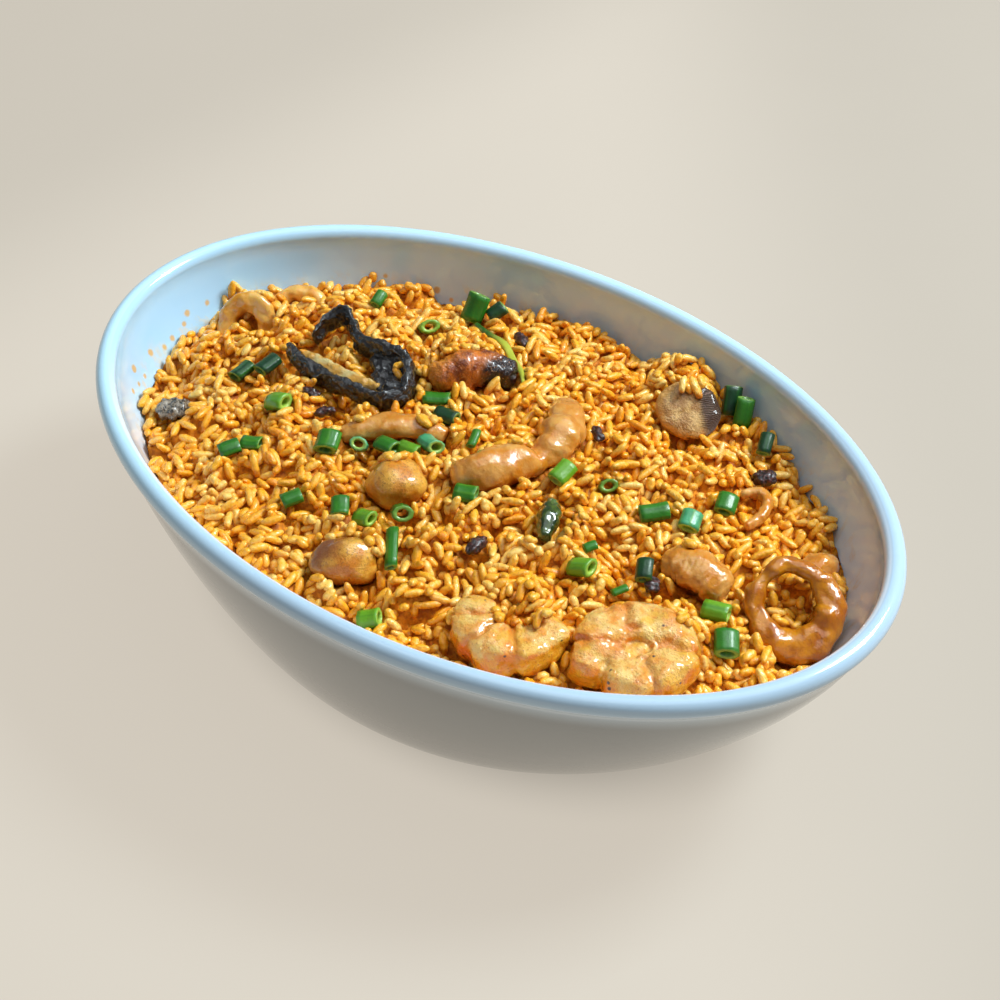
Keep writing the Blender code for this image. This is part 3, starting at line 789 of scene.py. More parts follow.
def joined_grains(name, base, rows, tones, material):
    """One mesh of many copies of a grain, whose rows are as pour gives them.

    The painted values are the grain's tone, how high a point stands on it, which sets the painted
    shade on its underside, and its warmth.
    """
    points, faces = base
    rows = np.array(rows)
    count, each = len(rows), len(points)
    cos_h, sin_h = np.cos(rows[:, 3])[:, None], np.sin(rows[:, 3])[:, None]
    cos_t, sin_t = np.cos(rows[:, 4])[:, None], np.sin(rows[:, 4])[:, None]
    x = points[None, :, 0] * rows[:, 5][:, None]
    y = points[None, :, 1] * rows[:, 6][:, None]
    z = points[None, :, 2] * rows[:, 7][:, None]
    x, z = x * cos_t - z * sin_t, x * sin_t + z * cos_t
    x, y = x * cos_h - y * sin_h, x * sin_h + y * cos_h
    place = np.stack([x, y, z], 2) + rows[:, None, :3]
    place = place.reshape(-1, 3) * METRE
    corners = [[k + n * each for k in face] for n in range(count) for face in faces]
    mesh = bpy.data.meshes.new(name)
    mesh.from_pydata(place.tolist(), [], corners)
    mesh.shade_smooth()
    paint = np.ones((count, each, 4), np.float32)
    paint[:, :, 0] = np.array(tones)[:, 0][:, None]
    # how high a point stands on its grain, read for the painted shade under each grain
    paint[:, :, 1] = 0.5 + 0.5 * z / rows[:, 7][:, None].clip(1.0)
    paint[:, :, 2] = np.array(tones)[:, 1][:, None]
    mesh.attributes.new("tone", "FLOAT_COLOR", "POINT").data.foreach_set("color", paint.ravel())
    mesh.update()
    return settle_object(bpy.data.objects.new(name, mesh), material, "rice", ["rice"])


def rice_finish():
    """Oily grains from pale cream to deep orange, each painted darker on its underside as shade
    from its neighbours.
    """
    f = Finish("rice_grain")
    tone, high, warm = f.tone("Red"), f.tone("Green"), f.tone("Blue")
    cloud = f.noise(9.0, 2.0)
    patch = f.noise(1.1, 3.0, 0.65)
    value = 0.5 + (tone - 0.5) * 0.7 + (cloud - 0.5) * 0.5 + (patch - 0.5) * 1.1
    colour = f.mix(f.mask(value, 0.0, 0.40), srgb(241, 141, 8), srgb(254, 179, 38))
    colour = f.mix(f.mask(value, 0.42, 0.98), colour, srgb(255, 211, 112))
    colour = f.mix(f.mask(warm, 0.78, 1.0) * 0.5, colour, srgb(246, 152, 8))
    # painted shade: each grain darker on its underside, where its neighbours shade it
    pressed = f.mask(high + (patch - 0.5) * 0.5, 0.50, 0.06)
    colour = f.mix(pressed * 0.75, colour, srgb(196, 100, 2))
    specks = f.noise(0.5, 1.0)
    colour = f.mix(f.mask(specks, 0.72, 0.79) * 0.6, colour, srgb(126, 56, 14))
    return f.paint(base_color=colour, roughness=0.16 + 0.24 * patch, coat_weight=0.4,
                   coat_roughness=0.08, normal=f.bump(patch, 0.5, 0.9))


def core_finish():
    """Rice and oil packed between the grains, in a darker orange-brown that is painted shade in
    the gaps between them.
    """
    f = Finish("rice_core_shade")
    lump = f.noise(1.6, 3.0, 0.6)
    cloud = f.noise(9.0, 2.0)
    # the darker orange-brown stands in as painted shade in the gaps between grains
    colour = f.mix(f.mask(lump + (cloud - 0.5) * 0.4, 0.3, 0.7),
                   srgb(160, 82, 2), srgb(226, 140, 22))
    return f.paint(base_color=colour, roughness=0.45 + 0.2 * lump, specular_ior_level=0.2,
                   normal=f.bump(lump, 0.5))


def make_core(heap):
    """The bulk of the rice: a top that fills in between the grains, closed down the wall."""
    low = heap.filled()
    edge_a, edge_b = inner_axes(44.0)
    rows = [(0.0, 0.0, 0.0, 0)]
    rows += [(0.0, (edge_a - CORE_GAP) * k / CORE_RINGS, (edge_b - CORE_GAP) * k / CORE_RINGS, 0)
             for k in range(1, CORE_RINGS + 1)]
    for z in (36.0, 28.0, 20.0, 13.0, 9.0):
        a, b = inner_axes(z)
        rows.append((z, a - CORE_GAP, b - CORE_GAP, 1))
    a, b = inner_axes(8.0)
    rows += [(FLOOR + GAP, a - 5.0, b - 5.0, 1), (FLOOR + GAP, 0.0, 0.0, 1)]
    bm = spun_oval(rows, CORE_SIDES)
    tone = bm.verts.layers.float_color["tone"]
    for v in bm.verts:
        if v[tone][2] < 0.5:
            i, j = heap.index(v.co.x, v.co.y)
            v.co.z = low[i, j] + 0.4 * noise.noise(Vector((v.co.x, v.co.y, 8.0)) / 1.5)
    finish_piece(bm, "rice_core", core_finish(), "rice", ["rice"])


# spring onion and small bits

# greens of the spring onion, as shares along its colour scale
DARK, LEAF, BRIGHT, TEAL = 0.05, 0.35, 0.65, 0.95
STEEP_TIP = 30           # from this tip on a cut stands on its end

# x, y, heading, tip, length, radius and colour of each cut of spring onion
ONIONS = (
    (-81, -11, 87, 8, 6.6, 3.0, DARK), (-75, -6, 85, 8, 6.8, 3.0, DARK),
    (-58, -19, 2, 24, 6.6, 2.9, BRIGHT), (-57, -40, 60, 10, 6.0, 2.4, LEAF),
    (-53, -35, 20, 10, 5.6, 2.4, LEAF), (-34, -24, 117, 12, 6.4, 3.4, LEAF),
    (-27, -19, 309, 46, 4.6, 2.6, TEAL), (-19.6, -15.4, 356, 10, 6.2, 2.6, LEAF),
    (-10, -8, 340, 16, 6.4, 2.9, TEAL), (-14, -13, 4, 6, 6.2, 2.2, BRIGHT),
    (-24, 11, 29, 4, 7.4, 2.4, LEAF), (-17, 7, 4, 6, 7.0, 2.4, DARK),
    (-50, 38, 320, 40, 5.4, 3.1, BRIGHT), (-72, 40, 99, 20, 5.2, 1.8, LEAF),
    (-45, 54, 90, 56, 8.6, 3.6, LEAF), (-39, 57, 60, 30, 5.8, 2.5, DARK),
    (-3, 2, 110, 10, 6.0, 1.4, LEAF), (9.8, -17, 19, 6, 6.2, 2.6, LEAF),
    (-27, -46, 60, 10, 5.6, 2.4, LEAF), (-14, -41, 129, 12, 5.8, 2.4, LEAF),
    (-6, -40, 354, 24, 5.8, 2.5, BRIGHT), (1, -33, 320, 36, 5.4, 2.9, LEAF),
    (7, -44, 129, 8, 13.0, 1.8, LEAF), (25, 6, 89, 12, 7.0, 2.6, BRIGHT),
    (36, 12, 310, 42, 5.0, 2.6, LEAF), (52, 11, 47, 4, 8.0, 2.6, LEAF),
    (61, 15, 109, 14, 5.6, 2.8, TEAL), (64, 28, 110, 12, 6.0, 2.8, LEAF),
    (51, -20, 0, 28, 6.6, 2.9, BRIGHT), (63, -9, 120, 20, 6.0, 2.2, DARK),
    (61, -17, 60, 10, 4.4, 1.4, LEAF), (84, -7, 14, 6, 7.0, 2.7, BRIGHT),
    (92, -14, 125, 12, 6.8, 3.3, LEAF), (104.6, 16.6, 120, 30, 4.6, 1.6, BRIGHT),
    (17, -64, 30, 20, 5.4, 2.6, BRIGHT), (41, 65.6, 118, 52, 8.4, 2.8, DARK),
    (46, 64, 110, 58, 8.6, 2.6, LEAF), (58, 57, 110, 24, 6.4, 2.0, DARK),
    (47, -11, 60, 10, 3.6, 1.5, LEAF),
)

# x, y, half sizes of dark or pale bits
BITS = ((64.5, 46.6, 3.3, 2.6, 2.0), (23.6, -29.4, 3.8, 2.0, 1.6), (21.6, 26.6, 3.0, 1.6, 1.4),
        (-55.0, -8.6, 2.8, 1.6, 1.4), (-46.0, -12.4, 3.2, 1.4, 1.4), (66.6, -10.6, 2.4, 2.0, 1.6),
        (-24.6, 51.0, 3.6, 1.6, 1.6))


def onion_tube(radius, length, squash, wall, draw):
    """A hollow cut of spring onion along X, ridged lengthwise, its wall rolled at the rims.

    The painted values are a streak of hue, nearness to a rim and 1 on the inside.
    """
    sides, half = 28, length / 2
    shift = draw.uniform(0, 6.28)
    bend = draw.uniform(-0.35, 0.35)
    slants = (draw.uniform(-0.14, 0.14), draw.uniform(-0.14, 0.14))
    bm = bmesh.new()
    tone = bm.verts.layers.float_color.new("tone")
    ring, rim = first_ring(bm, sides)
    first = rim
    rows = [(-half, 1.0), (-0.6 * half, 1.0), (-0.2 * half, 1.0), (0.2 * half, 1.0),
            (0.6 * half, 1.0), (half - 0.15, 1.0), (half, 1 - 0.3 * wall / radius),
            (half, 1 - wall / radius), (0.5 * half, 1 - wall / radius),
            (-0.5 * half, 1 - wall / radius), (-half, 1 - wall / radius),
            (-half - 0.02, 1 - 0.4 * wall / radius)]
    last_z, last_r = 0.0, 1.0
    for n, (z, r) in enumerate(rows):
        if n:
            ring, rim = next_ring(bm, rim)
        bmesh.ops.scale(bm, vec=Vector((r / last_r, r / last_r, 1)), verts=ring)
        bmesh.ops.translate(bm, vec=Vector((0, 0, z - last_z)), verts=ring)
        inner = 1.0 if n > 6 else 0.0
        for v in ring:
            v[tone] = (0.0, abs(z) / half, inner, 1.0)
        last_z, last_r = z, r
    bmesh.ops.bridge_loops(bm, edges=first + rim)
    for v in bm.verts:
        angle = math.atan2(v.co.y, v.co.x)
        old = v[tone]
        streak = 0.07 * math.cos(5 * angle + 2 * shift) + 0.04 * math.cos(11 * angle)
        v[tone] = (streak, old[1], old[2], 1.0)
        ridge = 1 + 0.035 * math.cos(9 * angle + shift) + 0.03 * math.cos(2 * angle + shift)
        share = v.co.z / half
        v.co.x *= radius * squash * ridge
        v.co.y *= radius * ridge
        v.co.z += (slants[0] if share < 0 else slants[1]) * v.co.x * abs(share) ** 3
        v.co.x += bend * (1 - share * share)
    bmesh.ops.rotate(bm, matrix=Matrix.Rotation(math.pi / 2, 3, "Y"), verts=bm.verts[:])
    bmesh.ops.recalc_face_normals(bm, faces=bm.faces[:])
    return bm


def onion_cuts():
    """Every cut of spring onion, lying in the rice or standing on its end in it."""
    draw = random.Random(5)
    out = []
    for x, y, turn, tip, length, radius, hue in ONIONS:
        angle, heading = math.radians(tip), math.radians(turn)
        rise = 0.5 * length * math.sin(angle)
        if tip > STEEP_TIP:
            back = 0.5 * length * math.cos(angle)
            z = rest_height(x - back * math.cos(heading), y - back * math.sin(heading), 1.5)
            z += rise - 0.6
        else:
            z = rest_height(x, y, 0.35 * length) + rise + 0.45 * radius - 0.3
        if tip < 20:
            squash, wall = draw.uniform(0.5, 0.72), 0.42
        else:
            squash, wall = draw.uniform(0.66, 0.84), 0.46
        bm = onion_tube(radius, length, squash, wall * radius, draw)
        spread = draw.uniform(-0.07, 0.07)
        paint_points(bm, lambda v, old: (hue + spread + old[0], old[1], old[2], 1.0))
        out.append(pose(bm, (x, y, z), turn, tip, draw.uniform(-25, 25)))
    return out


def onion_finish():
    """Greens from dark leaf to teal, paler inside the tube and at its cut rims."""
    f = Finish("spring_onion")
    hue, rim, inner = f.tone("Red"), f.tone("Green"), f.tone("Blue")
    cloud = f.noise(4.0, 3.0)
    fine = f.noise(0.7, 3.0, 0.6)
    skin_colour = f.mix(f.mask(hue, 0.02, 0.34), srgb(12, 58, 30), srgb(44, 118, 20))
    skin_colour = f.mix(f.mask(hue, 0.38, 0.66), skin_colour, srgb(102, 160, 22))
    skin_colour = f.mix(f.mask(hue, 0.72, 0.92), skin_colour, srgb(70, 160, 110))
    skin_colour = f.mix(f.mask(cloud, 0.45, 0.75) * 0.35, skin_colour, srgb(34, 92, 20))
    pale = f.mix(f.mask(hue, 0.3, 0.7), srgb(92, 148, 62), srgb(178, 206, 76))
    colour = f.mix(inner * 0.85, skin_colour, pale)
    colour = f.mix(f.mask(rim, 0.93, 1.0) * 0.35, colour, srgb(168, 198, 84))
    f.translucent(0.12, (0.5, 1.2, 0.3))
    return f.paint(base_color=colour, roughness=0.30 + 0.2 * fine, coat_weight=0.3,
                   coat_roughness=0.16, normal=f.bump(fine, 0.2, 0.7))


def small_bits():
    """Lumpy scraps, each sunk a little into the rice."""
    out = []
    for i, (x, y, a, b, c) in enumerate(BITS):
        z = rest_height(x, y, 0.5 * a) - 0.2
        bm = ball((a, b, c), 24, 16)
        roughen(bm, 1.3, 0.9, 3.1 * i)
        roughen(bm, 0.5, 0.25, 1.7 * i)
        out.append(pose(bm, (x, y, z + 0.5), 39 + 50 * i))
    return out


def bit_finish():
    """Dark purplish scraps with an oily shine."""
    f = Finish("dark_scrap")
    lump = f.noise(0.9, 3.0, 0.6)
    colour = f.mix(f.mask(lump, 0.4, 0.7), srgb(26, 16, 16), srgb(96, 48, 44))
    return f.paint(base_color=colour, roughness=0.22 + 0.2 * lump, coat_weight=0.4,
                   normal=f.bump(lump, 0.5))


def green_strand():
    """A thin strip of leaf that lies over the rice."""
    strand = [(-41.0, 49.6), (-33.0, 46.0), (-26.0, 44.2), (-19.0, 40.0), (-12.4, 35.4),
              (-8.0, 30.6)]
    sizes = (0.8, 1.1, 1.3, 1.1, 0.9, 0.5)
    line = [(x, y, rest_height(x, y, 2.0) + 1.0, size, 0.6 * size)
            for (x, y), size in zip(strand, sizes)]
    return skin(line, 40, 12,
                form=lambda share, angle: 1 + 0.1 * math.cos(3 * angle + 9 * share))


def strand_finish():
    """Green at its far end, yellow-green towards the near one."""
    f = Finish("green_strand")
    cloud = f.noise(3.0, 3.0)
    colour = f.mix(f.mask(f.tone("Red"), 0.15, 0.45), srgb(40, 92, 24), srgb(176, 184, 58))
    colour = f.mix(f.mask(cloud, 0.5, 0.8) * 0.5, colour, srgb(214, 206, 110))
    return f.paint(base_color=colour, roughness=0.3, coat_weight=0.4, normal=f.bump(cloud, 0.2))


# shrimp

def lobed(count=0, depth=0.0, phase=0.5, boxy=0.0):
    """Grooves across a sweep, as between segments, and a section squarer than round."""
    def form(share, angle):
        wave = abs(math.sin(math.pi * (count * share + phase)))
        square = (abs(math.cos(angle)) ** 3 + abs(math.sin(angle)) ** 3) ** (-1 / 3)
        return (1 - depth * (1 - wave ** 0.45)) * (1 + boxy * (square - 1))
    return form


def groove(bm, rule, depth):
    """Press creases into a skin where rule(v) is near 1, and paint them in the second channel."""
    bm.normal_update()
    moves = []
    tone = bm.verts.layers.float_color["tone"]
    for v in bm.verts:
        amount = rule(v)
        moves.append(v.normal * (-depth * amount))
        v[tone] = (v[tone][0], amount, v[tone][2], 1.0)
    for v, move in zip(bm.verts, moves):
        v.co += move
    return bm


def creases(places, width, gap):
    """Rule that is 1 on each of some places and falls off on both sides of them."""
    def rule(at):
        return max(math.exp(-(gap(at, place) / width) ** 2) for place in places)
    return rule


PRESSED_LEVEL = 56.8     # height above which the pan has pressed the shrimps flat
CURL_MIDDLE = Vector((78.0, -32.4, 53.0))
CURL_CREASES = (150, 214, 318, 30)     # degrees round the middle
BENT_CREASES = (0.2, 0.42, 0.66)       # shares of the length


def curled_shrimp():
    """Segments that curl round a shallow middle, the pressed upper face nearly flat."""
    body = skin([(70.6, -43.6, 51.8, 5.0, 6.0), (68.4, -36.4, 53.4, 6.6, 6.8),
                 (69.4, -29.2, 53.8, 6.8, 7.0), (75.2, -24.0, 53.6, 6.7, 6.8),
                 (82.4, -24.4, 52.8, 6.8, 6.8), (86.4, -30.8, 52.2, 6.3, 6.8),
                 (83.8, -38.4, 51.9, 5.9, 6.4), (78.0, -42.2, 51.9, 4.8, 5.6)], 90, 44,
                form=lobed(boxy=0.35))
    bm = fused([body, lump((77.6, -33.6, 51.4), (6.4, 5.4, 4.6), 39),
                lump((74.2, -38.2, 52.8), (6.0, 4.6, 5.8), 39)], 0.5)
    press_flat(bm, PRESSED_LEVEL, 0.5)
    roughen(bm, 5.0, 0.9, 1.0)
    roughen(bm, 1.9, 0.3, 4.0)

    def gap(v, degrees):
        """Distance from a crease, and too far for one close to the middle."""
        away = v.co - CURL_MIDDLE
        radius = math.hypot(away.x, away.y)
        bend = 0.35 * noise.noise(v.co / 5.0)
        turn = (math.atan2(away.y, away.x) + bend - math.radians(degrees)) % (2 * math.pi)
        turn = min(turn, 2 * math.pi - turn)
        return turn * radius if radius > 4.0 else 9.0

    groove(bm, creases(CURL_CREASES, 1.5, gap), 1.2)
    return mark_upper(bm)


def bent_shrimp():
    """A shrimp bent to an open hook, creased between its segments."""
    bm = skin([(38.2, -45.5, 53.6, 4.6, 5.0), (40.2, -51.0, 53.4, 6.0, 6.4),
               (48.0, -53.2, 52.8, 6.4, 6.8), (55.6, -48.6, 53.0, 6.1, 6.4),
               (58.2, -40.6, 53.6, 4.8, 5.2)], 120, 56, form=lobed(boxy=0.4))
    press_flat(bm, PRESSED_LEVEL, 0.5)
    roughen(bm, 5.0, 0.9, 2.0)
    roughen(bm, 1.9, 0.3, 5.0)
    tone = bm.verts.layers.float_color["tone"]
    rule = creases(BENT_CREASES, 0.03,
                   lambda v, share: v[tone][0] - share + 0.05 * noise.noise(v.co / 5))
    return mark_upper(groove(bm, rule, 1.0))


def back_shrimp():
    """A browned shrimp that tapers to its charred tip."""
    bm = skin([(-28.5, 17.5, 56.0, 4.2, 4.6), (-25.5, 23.5, 56.8, 6.0, 6.0),
               (-21.0, 29.0, 56.6, 5.6, 5.6), (-15.0, 32.8, 55.4, 3.6, 3.8)], 64, 40,
              form=lobed(3, 0.08, 0.3, 0.3))
    roughen(bm, 5.0, 1.2, 3.0)
    return mark_upper(roughen(bm, 1.3, 0.5, 6.0))


RED_PATCH = (44.4, -58.4, 52.0)        # on the outside of the bent shrimp


def shrimp_finish():
    """Cooked shrimp: golden cream above, yellow to orange down the sides, with pepper."""
    f = Finish("shrimp_flesh")
    upper = f.tone("Blue")
    cloud = f.noise(6.0, 3.0)
    fine = f.noise(0.8, 3.0, 0.65)
    patch = f.noise(2.6, 3.0, 0.6, warp=0.6)
    side = f.mix(f.mask(cloud, 0.38, 0.62), srgb(238, 132, 6), srgb(246, 178, 40))
    top = f.mix(f.mask(cloud + (patch - 0.5) * 0.8, 0.3, 0.7),
                srgb(238, 156, 56), srgb(248, 202, 112))
    top = f.mix(f.mask(f.noise(8.0, 2.0), 0.5, 0.62) * 0.8, top, srgb(244, 182, 56))
    height = upper + (cloud - 0.5) * 0.5 + (patch - 0.5) * 0.3
    colour = f.mix(f.mask(height, 0.60, 0.90), side, top)
    colour = f.mix(f.mask(f.noise(7.0, 2.0, 0.5, warp=1.0), 0.56, 0.76) * 0.5, colour,
                   srgb(236, 126, 16))
    colour = f.mix(f.tone("Green") * 0.5, colour, srgb(232, 128, 20))
    colour = f.mix(f.mask(fine, 0.58, 0.68) * 0.55, colour, srgb(184, 90, 40))
    red = f.mask(f.gap_to(RED_PATCH) + (patch - 0.5) * 3.0, 4.4, 1.6)
    colour = f.mix(red * 0.8, colour, srgb(236, 96, 20))
    pepper = f.mask(f.cells(4.6), 0.13, 0.07)
    colour = f.mix(pepper * 0.95, colour, srgb(36, 24, 26))
    f.translucent(0.3, (2.2, 1.0, 0.4))
    return f.paint(base_color=colour, roughness=0.06 + 0.16 * fine, coat_weight=1.0,
                   coat_roughness=0.04, normal=f.bump(fine + 0.4 * patch, 0.7, 0.9))


def brown_shrimp_finish():
    """Browned shrimp: amber at its left end, charred dark at the tip."""
    f = Finish("shrimp_browned")
    along = f.axis("X")
    cloud = f.noise(3.2, 3.0, 0.6)
    fine = f.noise(0.7, 3.0, 0.6)
    colour = f.mix(f.mask(cloud, 0.35, 0.65), srgb(122, 50, 12), srgb(216, 118, 26))
    colour = f.mix(f.mask(along + (cloud - 0.5) * 8.0, -25.0, -30.0), colour, srgb(230, 142, 36))
    colour = f.mix(f.mask(along + (cloud - 0.5) * 7.0, -20.0, -16.5), colour, srgb(36, 16, 14))
    colour = f.mix(f.mask(fine, 0.6, 0.72) * 0.5, colour, srgb(236, 170, 110))
    f.translucent(0.15, (1.8, 0.7, 0.3))
    return f.paint(base_color=colour, roughness=0.14 + 0.2 * fine, coat_weight=0.6,
                   coat_roughness=0.08, normal=f.bump(fine, 0.5))


# squid

def tilted_ring(centre, half_x, half_y, lean, count, sizes):
    """Stations of an oval in a plane that leans back from the front by lean degrees."""
    tall = AWAY * math.sin(math.radians(lean)) + Vector((0, 0, math.cos(math.radians(lean))))
    out = []
    for i in range(count):
        turn = 2 * math.pi * i / count
        p = Vector(centre) + RIGHT * half_x * math.cos(turn) + tall * half_y * math.sin(turn)
        out.append((*p, *sizes(turn)))
    return out, RIGHT.cross(tall)


def right_ring():
    """A short tube of squid on its edge, thin at the left and thick at the lower right."""
    def sizes(turn):
        swell = 0.5 + 0.5 * math.cos(turn + 0.9)
        return (1.9 + 2.7 * swell, 2.6 + 2.2 * swell)
    stations, facing = tilted_ring((97.4, 8.2, 50.4), 9.3, 11.0, 56, 16, sizes)
    bm = skin(stations, 110, 36, up=facing, closed=True, form=lobed(boxy=0.7))
    roughen(bm, 5.0, 1.5, 7.0)
    return mark_upper(roughen(bm, 1.8, 0.3, 8.0))


def rolled(places, width, depth, edge):
    """Cross creases at some shares of the length, and a lengthwise step where a roll ends."""
    def form(share, angle):
        slant = share + 0.03 * math.sin(angle)
        cross = max(math.exp(-((slant - place) / width) ** 2) for place in places)
        turn = (angle - math.radians(70) - 0.8 * share) % (2 * math.pi) - math.pi
        step = math.exp(-(turn / edge) ** 2)
        return (1 - depth * cross) * (1 - 0.10 * step)
    return form


FOLD_CREASES = (0.48, 0.66, 0.84)
BARREL_CREASES = (0.3, 0.68)


def squid_fold():
    """A strip of squid rolled lengthwise, pinched where it bends."""
    bm = skin([(3.6, -11.5, 56.6, 4.6, 4.2), (8.2, -5.4, 57.4, 6.6, 5.4),
               (12.6, 2.0, 57.0, 6.0, 5.0), (15.2, 8.8, 56.0, 4.4, 3.7),
               (15.8, 15.6, 57.0, 6.2, 5.2), (12.8, 23.0, 57.2, 6.2, 5.2),
               (7.8, 29.6, 56.0, 4.4, 3.8)], 130, 64, form=rolled(FOLD_CREASES, 0.04, 0.13, 0.26))
    roughen(bm, 5.0, 0.9, 9.0)
    return mark_upper(roughen(bm, 1.6, 0.16, 10.0))


def squid_barrel():
    """A short roll of squid, cut blunt at both ends."""
    bm = skin([(65.0, -0.4, 52.6, 4.8, 4.0), (69.6, 0.6, 53.6, 6.2, 4.6),
               (76.0, 1.4, 53.0, 6.0, 4.6), (80.8, 1.4, 50.8, 4.8, 3.8)], 90, 56, reach=0.35,
              form=rolled(BARREL_CREASES, 0.05, 0.07, 0.3))
    roughen(bm, 4.0, 0.9, 11.0)
    return mark_upper(roughen(bm, 1.1, 0.22, 12.0))


def squid_flat():
    """A flat strip that shows only its upper side."""
    bm = skin([(-34.2, -16.8, 54.6, 2.6, 2.4), (-27.0, -9.4, 56.6, 4.2, 3.2),
               (-19.4, -4.4, 56.8, 4.0, 3.0), (-11.6, -1.0, 55.8, 2.4, 2.2)], 56, 32)
    roughen(bm, 4.0, 0.7, 13.0)
    return mark_upper(roughen(bm, 1.2, 0.2, 14.0))


def squid_tip():
    """The end of a piece that looks out behind the ring."""
    bm = ball((5.6, 4.2, 4.0))
    roughen(bm, 3.0, 0.9, 15.0)
    return mark_upper(pose(bm, (93.6, 28.6, 46.4), 60))


def hook_piece():
    """A thin strip curled to a hook."""
    bm = skin([(64.6, 35.6, 51.4, 1.3, 1.5), (67.8, 38.8, 51.6, 1.5, 1.7),
               (71.6, 36.6, 51.2, 1.6, 1.8), (73.0, 31.2, 51.0, 1.6, 1.8),
               (72.0, 26.4, 50.6, 1.2, 1.4)], 48, 20)
    return mark_upper(roughen(bm, 1.5, 0.4, 16.0))


def arch_piece():
    """A see-through strip that stands as an arch."""
    lean = Vector((0.6, -0.75, 0.3))
    bm = skin([(-103.6, 4.0, 44.5, 3.0, 2.0), (-104.4, 8.0, 50.0, 3.2, 2.0),
               (-100.8, 11.6, 53.6, 3.4, 2.0), (-95.4, 13.2, 51.6, 3.4, 2.0),
               (-92.4, 11.6, 46.0, 3.0, 2.0)], 56, 32, up=RIGHT.cross(lean).cross(RIGHT))
    return mark_upper(roughen(bm, 2.6, 0.6, 17.0))


def back_strip():
    """A see-through strip behind the arch."""
    bm = skin([(-100.4, 24.6, 46.4, 2.4, 2.4), (-97.8, 29.0, 48.6, 2.6, 2.6),
               (-92.0, 32.0, 48.2, 2.6, 2.6), (-88.0, 31.6, 46.0, 2.2, 2.2)], 40, 28)
    return mark_upper(roughen(bm, 2.6, 0.6, 18.0))


def squid_finish(name, pale, mid, deep, clear):
    """Glossy squid from pale to brown, deeper down its sides, under a coat of oil."""
    f = Finish(name)
    cloud = f.noise(5.0, 3.0, 0.55)
    stain = f.noise(2.0, 3.0, 0.6, warp=0.6)
    fine = f.noise(0.6, 3.0, 0.6)
    upper = f.tone("Blue")
    colour = f.mix(f.mask(cloud, 0.35, 0.65), mid, pale)
    colour = f.mix(f.mask(upper + (cloud - 0.5) * 0.4, 0.62, 0.30) * 0.75, colour, deep)
    colour = f.mix(f.mask(stain, 0.58, 0.74) * 0.5, colour, deep)
    f.translucent(clear, (2.4, 1.2, 0.5))
    return f.paint(base_color=colour, roughness=0.08 + 0.12 * fine, coat_weight=0.9,
                   coat_roughness=0.04, normal=f.bump(0.35 * fine + stain, 0.3, 0.9))


# mushroom and other pieces

def round_piece(radii, at, seed):
    """A whole button mushroom, a little uneven."""
    bm = ball(radii, 72, 52)
    roughen(bm, 8.0, 1.5, seed)
    roughen(bm, 3.0, 0.35, seed + 1)
    return mark_upper(pose(bm, at, 39))


def round_finish():
    """Button mushroom fried whole: yellow-tan, browned at one side and freckled on top."""
    f = Finish("round_skin")
    cloud = f.noise(5.0, 3.0)
    fine = f.noise(0.7, 3.0, 0.65)
    upper = f.tone("Blue")
    colour = f.mix(f.mask(cloud, 0.35, 0.65), srgb(210, 124, 12), srgb(238, 176, 66))
    low = f.mask(upper + (cloud - 0.5) * 0.4, 0.74, 0.38)
    colour = f.mix(low * 0.85, colour, srgb(178, 92, 2))
    left = f.axis("X") + (cloud - 0.5) * 8.0
    near = f.mask(f.axis("Y"), -40.0, -44.0)
    colour = f.mix(f.mask(left, 3.0, -6.0) * near * 0.9, colour, srgb(122, 66, 36))
    colour = f.mix(f.mask(fine, 0.54, 0.64) * 0.6 * f.mask(upper, 0.6, 0.9), colour,
                   srgb(132, 62, 14))
    f.translucent(0.25, (2.0, 1.0, 0.4))
    return f.paint(base_color=colour, roughness=0.08 + 0.2 * fine, coat_weight=0.8,
                   coat_roughness=0.04, normal=f.bump(fine + cloud, 0.4))


def mushroom_slice():
    """A cut cap that leans back, its rim rolled and its gills at the upper right."""
    wide, high, thick = 9.4, 8.4, 3.2
    bm = ball((wide, high, thick), 64, 40)
    lean = math.radians(58)
    face = Vector((0, 0, 1))
    tall = AWAY * math.sin(lean) + face * math.cos(lean)
    normal = RIGHT.cross(tall)
    spin = Matrix.Rotation(math.radians(-20), 4, "Z")
    for v in bm.verts:
        out = min(math.hypot(v.co.x / wide, v.co.y / high), 1.0)
        if v.co.z > 0:
            v.co.z *= 0.72 + 0.4 * out ** 3
    paint_points(bm, lambda v, old: (
        v.co.x / 20 + 0.5, v.co.y / 20 + 0.5, 1.0 if v.co.z > 0 else 0.0, 1.0))
    roughen(bm, 3.0, 0.6, 21.0)
    basis = Matrix((RIGHT, tall, normal)).transposed().to_4x4()
    bmesh.ops.transform(bm, matrix=Matrix.Translation((34.0, 53.4, 54.0)) @ basis @ spin,
                        verts=bm.verts[:])
    return bm


